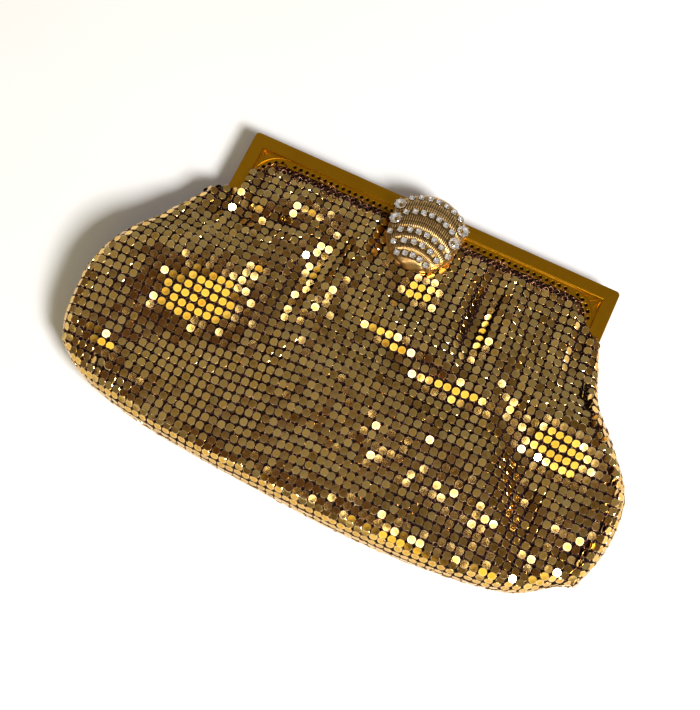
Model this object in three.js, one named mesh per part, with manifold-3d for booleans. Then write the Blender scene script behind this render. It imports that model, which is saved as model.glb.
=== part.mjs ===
// Metal mesh evening purse, lying on its back with its frame closed.
// Millimetres. +X runs along the frame, +Y from the bag towards the frame, +Z up from the flat back.
// Everything is laid out from the middle of the frame's top edge and centred at the end.

import * as THREE from 'three';
import { mergeVertices } from 'three/addons/utils/BufferGeometryUtils.js';
import Module from 'manifold-3d';

const wasm = await Module();
wasm.setup();

// Driving sizes of the frame
const frameWidth = 154;
const legLength = 28;
const frameDepth = 9.8;
const seamGap = 0.4;
const plateThick = 1.4;
const rimThick = 1.2;
const bandWidth = 5.2;
const flangeWidth = 3.4;
const flangeThick = 1;
const flangeRecess = 0.6;
const cornerRound = 1.6;
const archRadius = 12;
const beadWidth = 0.6;
const beadProud = 0.2;
const fanRibWidth = 0.7;
const fanRibDegrees = [28, 45, 62];

// Driving sizes of the holes along the frame's flange
const holeRadius = 0.72;
const holePitch = 2.6;
const holeSetback = 2;
const holeSides = 6;
const cornerHoles = 5;

// Driving sizes of the hinges at the ends of the frame's legs
const rivetRadius = 0.9;
const rivetHeadRadius = 1.4;
const rivetHeadThick = 0.6;
const rivetSides = 8;
const earHeight = 6.4;
const earReach = 2.6;
const runningGap = 0.3;

// Driving sizes of the mesh bag
const bagWidth = 218;
const bagHeight = 128.5;
const bagThick = 27;
const bagWall = 1.2;
const wallGap = 0.4;
const legSideGap = 0.7;
const meshSetback = 5.1;
const edgeHeight = 9;
const sideRoll = 6;
const bottomRoll = 5;
const backRoll = 4.5;
const mouthRoll = 1.9;
const roomLeft = 0.3;

// How the front swells from the mouth. Shares run from the mouth to the bottom fold and across the bag.
const swellEnd = 0.56;
const swellPower = 1.8;
const sideFall = 0.22;
const bottomFall = 0.27;
const bottomFallStart = 0.62;
const foldStart = 0.12;
const rollStart = 0.04;
const rollEnd = 0.35;

// Driving sizes of the jewelled clasp
const claspWidth = 29.6;
const claspLength = 32.9;
const claspOverhang = 4.2;
const claspHeight = 7.4;
const claspEdge = 1.7;
const claspTilt = 7;
const claspLift = 0.7;
const leverWidth = 7.4;
const leverThick = 1;
const leverDrop = 9;
const knuckleRadius = 1.5;
const knuckleLength = 3.2;
const knuckleSides = 10;
const hingePinRadius = 0.7;
const smallStone = 2.2;
const largeStone = 4.2;
const smallStoneSides = 8;
const largeStoneSides = 12;
const stoneGap = 0.12;
const crownPower = 0.42;

// Cut of the stones, as shares of their radius
const stoneDepth = 0.62;
const stoneTable = 0.58;
const stoneCrown = 0.36;
const stoneRaise = 0.15;

// How finely the soft form is divided
const bagColumns = 31;
const bagRows = 15;
const rollSteps = 3;
const claspColumns = 10;

// Heights that follow from the sizes above
const frameBack = bagWall + wallGap;
const frameFace = frameBack + frameDepth;
const frameMiddle = (frameBack + frameFace) / 2;
const frameHalf = frameWidth / 2;
const bagHalf = bagWidth / 2;

// Left side of the bag from mouth to bottom corner.
// out: share of the reach from the frame's edge to the bag's widest point
// down: share of the bag's height
const leftSide = [
  { out: 0.175, down: 0.209 },
  { out: 0.49, down: 0.354 },
  { out: 0.77, down: 0.458 },
  { out: 0.94, down: 0.549 },
  { out: 1, down: 0.63 },
  { out: 0.99, down: 0.7 },
  { out: 0.95, down: 0.778 },
  { out: 0.84, down: 0.842 },
];

// Right side of the bag, in the same columns
const rightSide = [
  { out: 0.128, down: 0.241 },
  { out: 0.27, down: 0.341 },
  { out: 0.57, down: 0.436 },
  { out: 0.86, down: 0.53 },
  { out: 0.97, down: 0.592 },
  { out: 1, down: 0.66 },
  { out: 0.97, down: 0.737 },
  { out: 0.89, down: 0.808 },
  { out: 0.81, down: 0.852 },
];

// Bottom fold between the two corners.
// across: share of half the bag's width
// down: share of the bag's height
const bottomFold = [
  { across: -0.85, down: 0.903 },
  { across: -0.645, down: 0.952 },
  { across: -0.385, down: 0.976 },
  { across: -0.1, down: 0.99 },
  { across: 0.18, down: 1 },
  { across: 0.525, down: 0.985 },
  { across: 0.775, down: 0.942 },
  { across: 0.9, down: 0.872 },
];

// Folds, dents and puffs of the front.
// across, down: middle, as shares of half the bag's width and of the bag's height
// long, wide: half length and half width, as shares of the bag's height
// turn: degrees of the long way from the frame's direction
// rise: height, as a share of the bag's thickness, below zero for a valley
const folds = [
  { across: -0.29, down: 0.38, long: 0.22, wide: 0.045, turn: 88, rise: -0.16 },
  { across: -0.22, down: 0.42, long: 0.17, wide: 0.045, turn: 84, rise: 0.1 },
  { across: -0.37, down: 0.27, long: 0.12, wide: 0.05, turn: 70, rise: 0.08 },
  { across: -0.68, down: 0.5, long: 0.17, wide: 0.06, turn: 14, rise: -0.03 },
  { across: -0.72, down: 0.42, long: 0.2, wide: 0.05, turn: 28, rise: 0.06 },
  { across: -0.76, down: 0.79, long: 0.14, wide: 0.045, turn: 20, rise: -0.08 },
  { across: 0.03, down: 0.3, long: 0.1, wide: 0.05, turn: 84, rise: -0.07 },
  { across: 0.31, down: 0.3, long: 0.17, wide: 0.04, turn: 97, rise: -0.15 },
  { across: 0.42, down: 0.29, long: 0.14, wide: 0.05, turn: 100, rise: 0.09 },
  { across: 0.18, down: 0.5, long: 0.24, wide: 0.05, turn: 164, rise: -0.09 },
  { across: 0.12, down: 0.41, long: 0.2, wide: 0.05, turn: 165, rise: 0.07 },
  { across: 0.55, down: 0.52, long: 0.16, wide: 0.045, turn: 122, rise: -0.15 },
  { across: 0.7, down: 0.76, long: 0.17, wide: 0.045, turn: 118, rise: -0.15 },
  { across: 0.75, down: 0.48, long: 0.13, wide: 0.06, turn: 170, rise: 0.05 },
  { across: 0.53, down: 0.68, long: 0.14, wide: 0.07, turn: 115, rise: 0.07 },
  { across: 0.88, down: 0.8, long: 0.09, wide: 0.04, turn: 150, rise: -0.08 },
  { across: 0.2, down: 0.9, long: 0.24, wide: 0.05, turn: 178, rise: 0.05 },
  { across: -0.45, down: 0.12, long: 0.05, wide: 0.03, turn: 90, rise: 0.05 },
  { across: 0.62, down: 0.13, long: 0.05, wide: 0.03, turn: 90, rise: 0.05 },
];

// Steps where the front drops towards the bottom fold, in the same columns as the folds.
// drop: height lost, as a share of the bag's thickness
const steps = [
  { across: -0.615, down: 0.584, long: 0.17, wide: 0.054, turn: 14, drop: 0.35 },
  { across: 0.72, down: 0.535, long: 0.1, wide: 0.046, turn: -10, drop: 0.3 },
  { across: 0.29, down: 0.515, long: 0.18, wide: 0.028, turn: -5, drop: 0.13 },
  { across: 0.05, down: 0.455, long: 0.1, wide: 0.026, turn: -8, drop: 0.1 },
  { across: 0.08, down: 0.27, long: 0.07, wide: 0.03, turn: 0, drop: 0.14 },
  { across: -0.78, down: 0.86, long: 0.12, wide: 0.03, turn: -22, drop: 0.14 },
  { across: -0.5, down: 0.24, long: 0.16, wide: 0.035, turn: 8, drop: 0.14 },
  { across: -0.16, down: 0.31, long: 0.08, wide: 0.03, turn: -25, drop: 0.13 },
];
const stepFade = 3.2;

// Arched bands of the clasp from its top edge to its tip.
// middle, ends: distance below the top edge at the band's middle and ends, as shares of the clasp's length
// half: half width, as a share of half the clasp's width
// raise: height over the dome, as a share of the clasp's height
const claspBands = [
  { band: 'top_edge', middle: 0, ends: 0.207, half: 0.905, raise: 0 },
  { band: 'stones_1', middle: 0.112, ends: 0.28, half: 0.993, raise: -0.03 },
  { band: 'ribs_1', middle: 0.198, ends: 0.371, half: 1, raise: 0.02 },
  { band: 'arc_1', middle: 0.267, ends: 0.432, half: 0.986, raise: 0.08 },
  { band: 'stones_2', middle: 0.347, ends: 0.502, half: 0.96, raise: -0.03 },
  { band: 'ribs_2', middle: 0.441, ends: 0.559, half: 0.932, raise: 0.02 },
  { band: 'arc_2', middle: 0.517, ends: 0.644, half: 0.905, raise: 0.08 },
  { band: 'stones_3', middle: 0.605, ends: 0.714, half: 0.872, raise: -0.03 },
  { band: 'arc_3', middle: 0.681, ends: 0.775, half: 0.797, raise: 0.08 },
  { band: 'stones_4', middle: 0.736, ends: 0.836, half: 0.716, raise: -0.03 },
  { band: 'arc_4', middle: 0.815, ends: 0.881, half: 0.608, raise: 0.08 },
  { band: 'stones_5', middle: 0.878, ends: 0.924, half: 0.507, raise: -0.03 },
  { band: 'ribs_3', middle: 0.945, ends: 0.96, half: 0.33, raise: 0.02 },
  { band: 'tip', middle: 1, ends: 0.991, half: 0.12, raise: 0 },
];

// Stones set along the clasp's bands.
// span: share of the band's half width that the row reaches
const stoneRows = [
  { band: 'stones_1', count: 7, span: 0.68, size: smallStone },
  { band: 'ribs_1', count: 2, span: 0.86, size: largeStone },
  { band: 'stones_2', count: 7, span: 0.66, size: smallStone },
  { band: 'ribs_2', count: 2, span: 0.855, size: largeStone },
  { band: 'stones_3', count: 8, span: 0.91, size: smallStone },
  { band: 'stones_4', count: 6, span: 0.83, size: smallStone },
  { band: 'stones_5', count: 5, span: 0.78, size: smallStone },
];

// Materials

const frameGold = new THREE.MeshStandardMaterial({ color: 0x8a6410, roughness: 0.42, metalness: 1 });
const meshGold = new THREE.MeshStandardMaterial({ color: 0x9a7c42, roughness: 0.36, metalness: 1 });
const claspGold = new THREE.MeshStandardMaterial({ color: 0x9c7a3e, roughness: 0.38, metalness: 1 });
const pinGold = new THREE.MeshStandardMaterial({ color: 0x7c5a18, roughness: 0.4, metalness: 1 });
const stoneGlass = new THREE.MeshStandardMaterial({ color: 0xe4e4e2, roughness: 0.05, metalness: 0 });

// Joining and cutting

function solidOf(geometry) {
  const bare = geometry.clone();
  bare.deleteAttribute('normal');
  bare.deleteAttribute('uv');
  const merged = mergeVertices(bare, 1e-4);
  const index = merged.index.array;
  const kept = [];
  for (let i = 0; i < index.length; i += 3) {
    const [a, b, c] = [index[i], index[i + 1], index[i + 2]];
    if (a !== b && b !== c && c !== a) kept.push(a, b, c);
  }
  return new wasm.Manifold(new wasm.Mesh({
    numProp: 3,
    vertProperties: new Float32Array(merged.attributes.position.array),
    triVerts: new Uint32Array(kept),
  }));
}

function geometryOf(solid) {
  const mesh = solid.getMesh();
  const geometry = new THREE.BufferGeometry();
  geometry.setAttribute('position', new THREE.BufferAttribute(mesh.vertProperties, 3));
  geometry.setIndex(new THREE.BufferAttribute(mesh.triVerts, 1));
  return geometry;
}

const joined = (solids) => solids.reduce((whole, piece) => whole.add(piece));

const cut = (solid, cutters) => cutters.reduce((rest, cutter) => rest.subtract(cutter), solid);

function shapeOf(points) {
  return new THREE.Shape(points.map(([x, y]) => new THREE.Vector2(x, y)));
}

// A flat shape in X and Y, filled from one height to another
function slab(shape, low, high) {
  const geometry = new THREE.ExtrudeGeometry(shape, { depth: high - low, bevelEnabled: false });
  return solidOf(geometry.translate(0, 0, low));
}

function block(left, right, low, high, bottom, top) {
  return slab(shapeOf([[left, low], [right, low], [right, high], [left, high]]), bottom, top);
}

// A round bar along X
function barAlongX(radius, left, right, y, z, sides) {
  const geometry = new THREE.CylinderGeometry(radius, radius, right - left, sides);
  geometry.rotateZ(Math.PI / 2);
  return solidOf(geometry.translate((left + right) / 2, y, z));
}

// Frame outlines: an upside-down U drawn anticlockwise, at an inset from the frame's outer edge

function squareU(inset) {
  const x = frameHalf - inset;
  return [[-x, -legLength], [-x, -inset], [x, -inset], [x, -legLength]];
}

const archCentreX = frameHalf - bandWidth - archRadius;
const archCentreY = -bandWidth - archRadius;

// The arched line inside the square one, at an inset from the arch bead
function archedU(inset, cornerSteps = 5) {
  const radius = archRadius - inset;
  const points = [[-(archCentreX + radius), -legLength]];
  for (let i = 0; i <= cornerSteps; i++) {
    const angle = Math.PI - (i / cornerSteps) * (Math.PI / 2);
    points.push([-archCentreX + radius * Math.cos(angle), archCentreY + radius * Math.sin(angle)]);
  }
  for (let i = 0; i <= cornerSteps; i++) {
    const angle = Math.PI / 2 - (i / cornerSteps) * (Math.PI / 2);
    points.push([archCentreX + radius * Math.cos(angle), archCentreY + radius * Math.sin(angle)]);
  }
  points.push([archCentreX + radius, -legLength]);
  return points;
}

const between = (outer, inner) => shapeOf([...outer, ...inner.slice().reverse()]);

// The outer edge, with its two upper corners rounded off
function outerU() {
  const points = [[-frameHalf, -legLength]];
  for (const side of [-1, 1]) {
    for (let i = 0; i <= 3; i++) {
      const turn = side < 0 ? Math.PI - (i * Math.PI) / 6 : Math.PI / 2 - (i * Math.PI) / 6;
      points.push([
        side * (frameHalf - cornerRound) + cornerRound * Math.cos(turn),
        -cornerRound + cornerRound * Math.sin(turn),
      ]);
    }
  }
  points.push([frameHalf, -legLength]);
  return points;
}

// Middles of the holes: a straight row under the band, and a few round each arched corner
function holeMiddles() {
  const radius = archRadius - holeSetback;
  const count = 2 * Math.floor(archCentreX / holePitch) + 1;
  const middles = [];
  for (let i = 0; i < count; i++) {
    middles.push([(i - (count - 1) / 2) * holePitch, -bandWidth - holeSetback]);
  }
  for (const side of [-1, 1]) {
    for (let i = 1; i <= cornerHoles; i++) {
      const angle = Math.PI / 2 - (i * holePitch) / radius;
      middles.push([
        side * (archCentreX + radius * Math.cos(angle)),
        archCentreY + radius * Math.sin(angle),
      ]);
    }
  }
  return middles;
}

// A narrow straight rib from one point to another
function ribShape(from, to, width) {
  const along = new THREE.Vector2(to[0] - from[0], to[1] - from[1]).normalize();
  const side = [(-along.y * width) / 2, (along.x * width) / 2];
  return shapeOf([
    [from[0] - side[0], from[1] - side[1]],
    [to[0] - side[0], to[1] - side[1]],
    [to[0] + side[0], to[1] + side[1]],
    [from[0] + side[0], from[1] + side[1]],
  ]);
}

const hingeY = -(legLength - earHeight / 2);

// One half of the frame. The front half's face looks up, and the back half's down.
function frameHalfSolid(isFront) {
  const layer = (shape, near, far) => (isFront
    ? slab(shape, frameFace - far, frameFace - near)
    : slab(shape, frameBack + near, frameBack + far));
  const halfDepth = (frameDepth - seamGap) / 2;
  const innerSquare = squareU(bandWidth);
  const overlap = 0.1;
  const pieces = [
    layer(between(outerU(), innerSquare), 0, plateThick),
    layer(between(outerU(), squareU(rimThick)), plateThick - overlap, halfDepth),
    layer(between(squareU(bandWidth - overlap), archedU(flangeWidth)), flangeRecess, flangeRecess + flangeThick),
    layer(between(squareU(bandWidth - beadWidth), innerSquare), -beadProud, flangeRecess + overlap),
    layer(between(archedU(0), archedU(beadWidth)), flangeRecess - beadProud, flangeRecess + overlap),
  ];
  for (const side of [-1, 1]) {
    const corner = [side * (frameHalf - bandWidth), -bandWidth];
    for (const degrees of fanRibDegrees) {
      const angle = THREE.MathUtils.degToRad(degrees);
      const end = [
        side * (archCentreX + archRadius * Math.cos(angle)),
        archCentreY + archRadius * Math.sin(angle),
      ];
      pieces.push(layer(ribShape(corner, end, fanRibWidth), flangeRecess - beadProud, flangeRecess + overlap));
    }
  }
  const holes = holeMiddles().map(([x, y]) => {
    const prism = new THREE.CylinderGeometry(holeRadius, holeRadius, frameDepth, holeSides);
    prism.rotateX(Math.PI / 2);
    const middle = isFront ? frameFace : frameBack;
    return solidOf(prism.translate(x, y, middle));
  });
  return cut(joined(pieces), holes);
}

// The hinge ears: the back half's rim reaches up outside, the front half's reaches down inside it
function withEars(half, isFront) {
  const top = -(legLength - earHeight);
  let solid = half;
  for (const side of [-1, 1]) {
    const span = (near, far) => (side > 0 ? [near, far] : [-far, -near]);
    const outer = span(frameHalf - rimThick, frameHalf);
    const inner = span(frameHalf - 2 * rimThick - runningGap, frameHalf - rimThick - runningGap);
    const boreEnds = span(frameHalf - 3 * rimThick, frameHalf + rimThick);
    const bore = barAlongX(rivetRadius + stoneGap, ...boreEnds, hingeY, frameMiddle, rivetSides);
    if (isFront) {
      const room = span(frameHalf - rimThick - runningGap, frameHalf + rimThick);
      const ceiling = frameMiddle + earReach + runningGap;
      const opening = block(...room, -legLength - rimThick, top + runningGap, frameMiddle - rimThick, ceiling);
      const ear = block(...inner, -legLength, top, frameMiddle - earReach, frameFace - plateThick / 2);
      solid = solid.subtract(opening).add(ear).subtract(bore);
    } else {
      const ear = block(...outer, -legLength, top, frameBack + plateThick / 2, frameMiddle + earReach);
      const seatEnds = span(frameHalf - rivetHeadThick, frameHalf + rimThick);
      const seat = barAlongX(rivetHeadRadius + stoneGap, ...seatEnds, hingeY, frameMiddle, rivetSides);
      solid = solid.add(ear).subtract(bore).subtract(seat);
    }
  }
  return solid;
}

// The rivet through both ears, with a sunk outer head and a head inside the inner ear
function rivetSolid(side) {
  const span = (near, far) => (side > 0 ? [near, far] : [-far, -near]);
  const inside = frameHalf - 2 * rimThick - 2 * runningGap;
  const outside = frameHalf - rivetHeadThick + stoneGap;
  return joined([
    barAlongX(rivetRadius, ...span(inside, outside), hingeY, frameMiddle, rivetSides),
    barAlongX(rivetHeadRadius, ...span(inside - rivetHeadThick, inside), hingeY, frameMiddle, rivetSides),
    barAlongX(rivetHeadRadius, ...span(outside, frameHalf), hingeY, frameMiddle, rivetSides),
  ]);
}

// Clasp hinge on the back half's top edge

const claspAxisY = knuckleRadius + runningGap;
const claspAxisZ = frameBack + plateThick + knuckleRadius;
const knuckleInner = leverWidth / 2 + runningGap;

function knuckles() {
  return [-1, 1].map((side) => {
    const ends = side > 0
      ? [knuckleInner, knuckleInner + knuckleLength]
      : [-knuckleInner - knuckleLength, -knuckleInner];
    const barrel = barAlongX(knuckleRadius, ...ends, claspAxisY, claspAxisZ, knuckleSides);
    const foot = block(...ends, -rimThick / 2, claspAxisY, claspAxisZ - knuckleRadius, claspAxisZ);
    return barrel.add(foot);
  });
}

const pinHole = () => barAlongX(hingePinRadius + stoneGap, -frameHalf / 2, frameHalf / 2,
  claspAxisY, claspAxisZ, knuckleSides);

function hingePinSolid() {
  const reach = knuckleInner + knuckleLength;
  return barAlongX(hingePinRadius, -reach, reach, claspAxisY, claspAxisZ, knuckleSides);
}

// Clasp: a domed, banded plate on a lever that folds over the frame's top edge.
// The plate is laid out flat, its top edge at y = claspOverhang, and then tilted up at its tip.

const claspPlace = new THREE.Matrix4()
  .makeTranslation(0, 0, frameFace + claspLift)
  .multiply(new THREE.Matrix4().makeRotationX(THREE.MathUtils.degToRad(-claspTilt)));

const bandNamed = (name) => claspBands.find((row) => row.band === name);

// A point of the dome on a band (given by its middle, ends, half and raise) at a share across it
function claspPoint(row, across) {
  const drop = row.middle + (row.ends - row.middle) * across * across;
  const x = (across * row.half * claspWidth) / 2;
  const y = claspOverhang - drop * claspLength;
  const crownAcross = Math.max(0, 1 - across * across);
  const crownDown = Math.max(0, 1 - (2 * row.middle - 1) ** 2);
  const crown = (crownAcross * crownDown) ** crownPower;
  const z = claspEdge + (claspHeight - claspEdge) * crown + row.raise * claspHeight * crown;
  return new THREE.Vector3(x, y, z);
}

// The plate as a grid from band to band, with upright sides and a flat underside
function claspDome() {
  const rows = claspBands;
  const positions = [];
  const triangles = [];
  const wide = claspColumns + 1;
  for (const row of rows) {
    for (let i = 0; i < wide; i++) {
      const p = claspPoint(row, (2 * i) / claspColumns - 1);
      positions.push(p.x, p.y, p.z);
    }
  }
  for (let r = 0; r < rows.length - 1; r++) {
    for (let i = 0; i < claspColumns; i++) {
      const a = r * wide + i;
      triangles.push(a, a + wide, a + 1, a + 1, a + wide, a + wide + 1);
    }
  }
  const rim = [];
  for (let i = 0; i < wide; i++) rim.push(i);
  for (let r = 1; r < rows.length; r++) rim.push(r * wide + claspColumns);
  for (let i = claspColumns - 1; i >= 0; i--) rim.push((rows.length - 1) * wide + i);
  for (let r = rows.length - 2; r > 0; r--) rim.push(r * wide);
  const base = positions.length / 3;
  for (const corner of rim) positions.push(positions[3 * corner], positions[3 * corner + 1], 0);
  rim.forEach((corner, i) => {
    const j = (i + 1) % rim.length;
    triangles.push(corner, rim[j], base + j, corner, base + j, base + i);
  });
  const outline = rim.map((corner, i) => new THREE.Vector2(positions[3 * (base + i)], positions[3 * (base + i) + 1]));
  for (const [a, b, c] of THREE.ShapeUtils.triangulateShape(outline, [])) {
    triangles.push(base + a, base + c, base + b);
  }
  const geometry = new THREE.BufferGeometry();
  geometry.setAttribute('position', new THREE.Float32BufferAttribute(positions, 3));
  geometry.setIndex(triangles);
  return geometry;
}

// Outward direction of the dome on a band at a share across it
function claspNormal(row, across) {
  const step = 0.04;
  const side = claspPoint(row, across + step).sub(claspPoint(row, across - step));
  const up = { ...row, middle: row.middle - step, ends: row.ends - step };
  const down = { ...row, middle: row.middle + step, ends: row.ends + step };
  const along = claspPoint(up, across).sub(claspPoint(down, across));
  return side.cross(along).normalize();
}

// Places of the stones on the dome: middle, outward direction, radius and sides
function stonePlaces() {
  const places = [];
  for (const row of stoneRows) {
    const band = bandNamed(row.band);
    for (let i = 0; i < row.count; i++) {
      const across = row.span * ((2 * i) / (row.count - 1) - 1);
      const radius = row.size / 2;
      const sides = row.size === largeStone ? largeStoneSides : smallStoneSides;
      const normal = claspNormal(band, across).transformDirection(claspPlace);
      const place = claspPoint(band, across).applyMatrix4(claspPlace);
      place.addScaledVector(normal, stoneRaise * radius);
      places.push({ place, normal, radius, sides });
    }
  }
  return places;
}

// A round brilliant: flat table, sloped crown, girdle edge and pointed back
function stoneGeometry(radius, sides) {
  const profile = [
    [0, -stoneDepth * radius],
    [radius, 0],
    [stoneTable * radius, stoneCrown * radius],
    [0, stoneCrown * radius],
  ];
  const geometry = new THREE.LatheGeometry(profile.map(([x, y]) => new THREE.Vector2(x, y)), sides);
  return geometryOf(solidOf(geometry.rotateX(Math.PI / 2)));
}

// The cup that a stone sits in, open upwards
function stoneSeat({ place, normal, radius, sides }) {
  const profile = [
    [0, -stoneDepth * radius - 2 * stoneGap],
    [radius + stoneGap, -stoneGap],
    [radius + stoneGap, radius + claspEdge],
    [0, radius + claspEdge],
  ];
  const geometry = new THREE.LatheGeometry(profile.map(([x, y]) => new THREE.Vector2(x, y)), sides);
  geometry.rotateX(Math.PI / 2);
  const turn = new THREE.Quaternion().setFromUnitVectors(new THREE.Vector3(0, 0, 1), normal);
  return solidOf(geometry.applyQuaternion(turn).translate(place.x, place.y, place.z));
}

// The lever: a barrel on the hinge pin, a strap up past the frame's edge and a tongue under the plate
function leverSolid() {
  const half = leverWidth / 2;
  const barrel = barAlongX(knuckleRadius, -half, half, claspAxisY, claspAxisZ, knuckleSides);
  const strapTop = frameFace + claspLift + leverThick;
  const strapY = claspAxisY + knuckleRadius - leverThick;
  const strap = block(-half, half, strapY, strapY + leverThick, claspAxisZ, strapTop);
  const tongue = block(-half, half, -leverDrop, strapY + leverThick, frameFace + claspLift, strapTop);
  return joined([barrel, strap, tongue]);
}

function claspSolid() {
  const dome = solidOf(claspDome().applyMatrix4(claspPlace));
  return cut(dome.add(leverSolid()), [pinHole(), ...stonePlaces().map(stoneSeat)]);
}

// Mesh bag: a patch between the mouth, the two sides and the bottom fold, with a front and a back sheet

const mouthEndX = frameHalf + legSideGap + bagWall;
const mouthTopY = -(bandWidth + meshSetback);
const mouthCornerRadius = archRadius - meshSetback;

// Depth below the frame's top where the mesh comes over each leg, as a share of the leg's length
const mouthEndLeft = 0.66;
const mouthEndRight = 0.9;

// Degrees round each arched corner where the mouth line passes
const mouthCornerLeft = [35, 65, 90];
const mouthCornerRight = [90, 60, 25];

function mouthLine() {
  const points = [new THREE.Vector3(-mouthEndX, -mouthEndLeft * legLength, 0)];
  const corner = (side, degrees) => {
    const angle = THREE.MathUtils.degToRad(degrees);
    return new THREE.Vector3(
      side * (archCentreX + mouthCornerRadius * Math.cos(angle)),
      archCentreY + mouthCornerRadius * Math.sin(angle),
      0,
    );
  };
  points.push(...mouthCornerLeft.map((degrees) => corner(-1, degrees)));
  for (const share of [-0.5, 0, 0.5]) points.push(new THREE.Vector3(share * archCentreX, mouthTopY, 0));
  points.push(...mouthCornerRight.map((degrees) => corner(1, degrees)));
  points.push(new THREE.Vector3(mouthEndX, -mouthEndRight * legLength, 0));
  return new THREE.CatmullRomCurve3(points, false, 'centripetal');
}

function sideLine(side, rows, start) {
  const points = rows.map(({ out, down }) => new THREE.Vector3(
    side * (frameHalf + out * (bagHalf - frameHalf)),
    -down * bagHeight,
    0,
  ));
  return new THREE.CatmullRomCurve3([start, ...points], false, 'centripetal');
}

const mouth = mouthLine();
const left = sideLine(-1, leftSide, mouth.getPoint(0));
const right = sideLine(1, rightSide, mouth.getPoint(1));
const bottom = new THREE.CatmullRomCurve3([
  left.getPoint(1),
  ...bottomFold.map(({ across, down }) => new THREE.Vector3(across * bagHalf, -down * bagHeight, 0)),
  right.getPoint(1),
], false, 'centripetal');

// A point of the patch: s runs from left to right, t from the mouth to the bottom fold
function patchPoint(s, t) {
  const point = new THREE.Vector3();
  point.addScaledVector(mouth.getPointAt(s), 1 - t);
  point.addScaledVector(bottom.getPointAt(s), t);
  point.addScaledVector(left.getPointAt(t), 1 - s);
  point.addScaledVector(right.getPointAt(t), s);
  point.addScaledVector(mouth.getPoint(0), -(1 - s) * (1 - t));
  point.addScaledVector(mouth.getPoint(1), -s * (1 - t));
  point.addScaledVector(bottom.getPoint(0), -(1 - s) * t);
  point.addScaledVector(bottom.getPoint(1), -s * t);
  return point;
}

const ease = (value, low, high) => THREE.MathUtils.smoothstep(value, low, high);

// Distances along and aside from a fold, as shares of its half length and half width
function around({ across, down, long, wide, turn }, x, y) {
  const angle = THREE.MathUtils.degToRad(turn);
  const dx = x - across * bagHalf;
  const dy = y + down * bagHeight;
  return {
    along: (dx * Math.cos(angle) + dy * Math.sin(angle)) / (long * bagHeight),
    aside: (dy * Math.cos(angle) - dx * Math.sin(angle)) / (wide * bagHeight),
  };
}

// Height of the front sheet's outside, without the roll at its edges
function frontHeight(x, y, s, t) {
  const overFlange = frameFace - flangeRecess + wallGap + bagWall;
  const overLeg = frameFace + beadProud + wallGap + bagWall;
  const legShare = ease(Math.abs(x), archCentreX, frameHalf - bandWidth);
  const start = overFlange + (overLeg - overFlange) * legShare;
  const swell = Math.sin((Math.PI / 2) * Math.min(1, t / swellEnd)) ** swellPower;
  const sideways = 1 - sideFall * Math.abs(2 * s - 1) ** 3;
  const downwards = 1 - bottomFall * ease(t, bottomFallStart, 1);
  let folded = 0;
  for (const fold of folds) {
    const { along, aside } = around(fold, x, y);
    folded += fold.rise * Math.exp(-along * along - aside * aside);
  }
  for (const step of steps) {
    const { along, aside } = around(step, x, y);
    folded += (step.drop / 2) * Math.tanh(aside) * Math.exp(-along * along - (aside / stepFade) ** 2);
  }
  return start + (bagThick - start) * swell * sideways * downwards + folded * bagThick * ease(t, 0, foldStart);
}

// Share of the full height at a distance inside an edge that is rolled to a quarter ellipse
function rollShare(distance, radius) {
  const short = 1 - Math.min(1, distance / radius);
  return Math.sqrt(Math.max(0, 1 - short * short));
}

// Distances from an edge where the rolled stretch is divided
const rollDistances = (radius) => Array.from({ length: rollSteps }, (_, i) => (
  radius * (1 - Math.cos((i / rollSteps) * (Math.PI / 2)))));

// Both sheets as rows of points, moved inwards by inset. They share their points along the edges.
function sheets(inset) {
  const tight = (radius) => Math.max(radius - inset, roomLeft);
  const patchDepth = bagHeight + mouthTopY;
  const bottomRadius = tight(bottomRoll);
  const lastT = 1 - (inset + bottomRadius) / patchDepth;
  const downs = Array.from({ length: bagRows + 1 }, (_, i) => (lastT * i) / bagRows);
  const bottomDowns = rollDistances(bottomRadius).map((distance) => 1 - (inset + distance) / patchDepth);
  downs.push(...bottomDowns.reverse());
  const front = [];
  const back = [];
  for (const t of downs) {
    const width = patchPoint(1, t).x - patchPoint(0, t).x;
    const spread = ease(t, rollStart, rollEnd);
    const sideRadius = tight(mouthRoll + (sideRoll - mouthRoll) * spread);
    const backRadius = tight(mouthRoll + (backRoll - mouthRoll) * spread);
    const edge = frameMiddle + (edgeHeight - frameMiddle) * spread;
    const toBottom = (1 - t) * patchDepth - inset;
    const first = (inset + sideRadius) / width;
    const edgeShares = rollDistances(sideRadius).map((distance) => (inset + distance) / width);
    const middle = Array.from({ length: bagColumns + 1 }, (_, i) => first + ((1 - 2 * first) * i) / bagColumns);
    const across = [...edgeShares, ...middle, ...edgeShares.map((s) => 1 - s).reverse()];
    const rowFront = [];
    const rowBack = [];
    for (const s of across) {
      const toSide = Math.min(s, 1 - s) * width - inset;
      const frontLift = rollShare(toSide, sideRadius) * rollShare(toBottom, bottomRadius);
      const backLift = rollShare(toSide, backRadius) * rollShare(toBottom, tight(backRoll));
      const { x, y } = patchPoint(s, t);
      const outer = frontHeight(x, y, s, t) - inset;
      rowFront.push(new THREE.Vector3(x, y, edge + (outer - edge) * frontLift));
      rowBack.push(new THREE.Vector3(x, y, edge + (inset - edge) * backLift));
    }
    front.push(rowFront);
    back.push(rowBack);
  }
  return { front, back };
}

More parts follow.
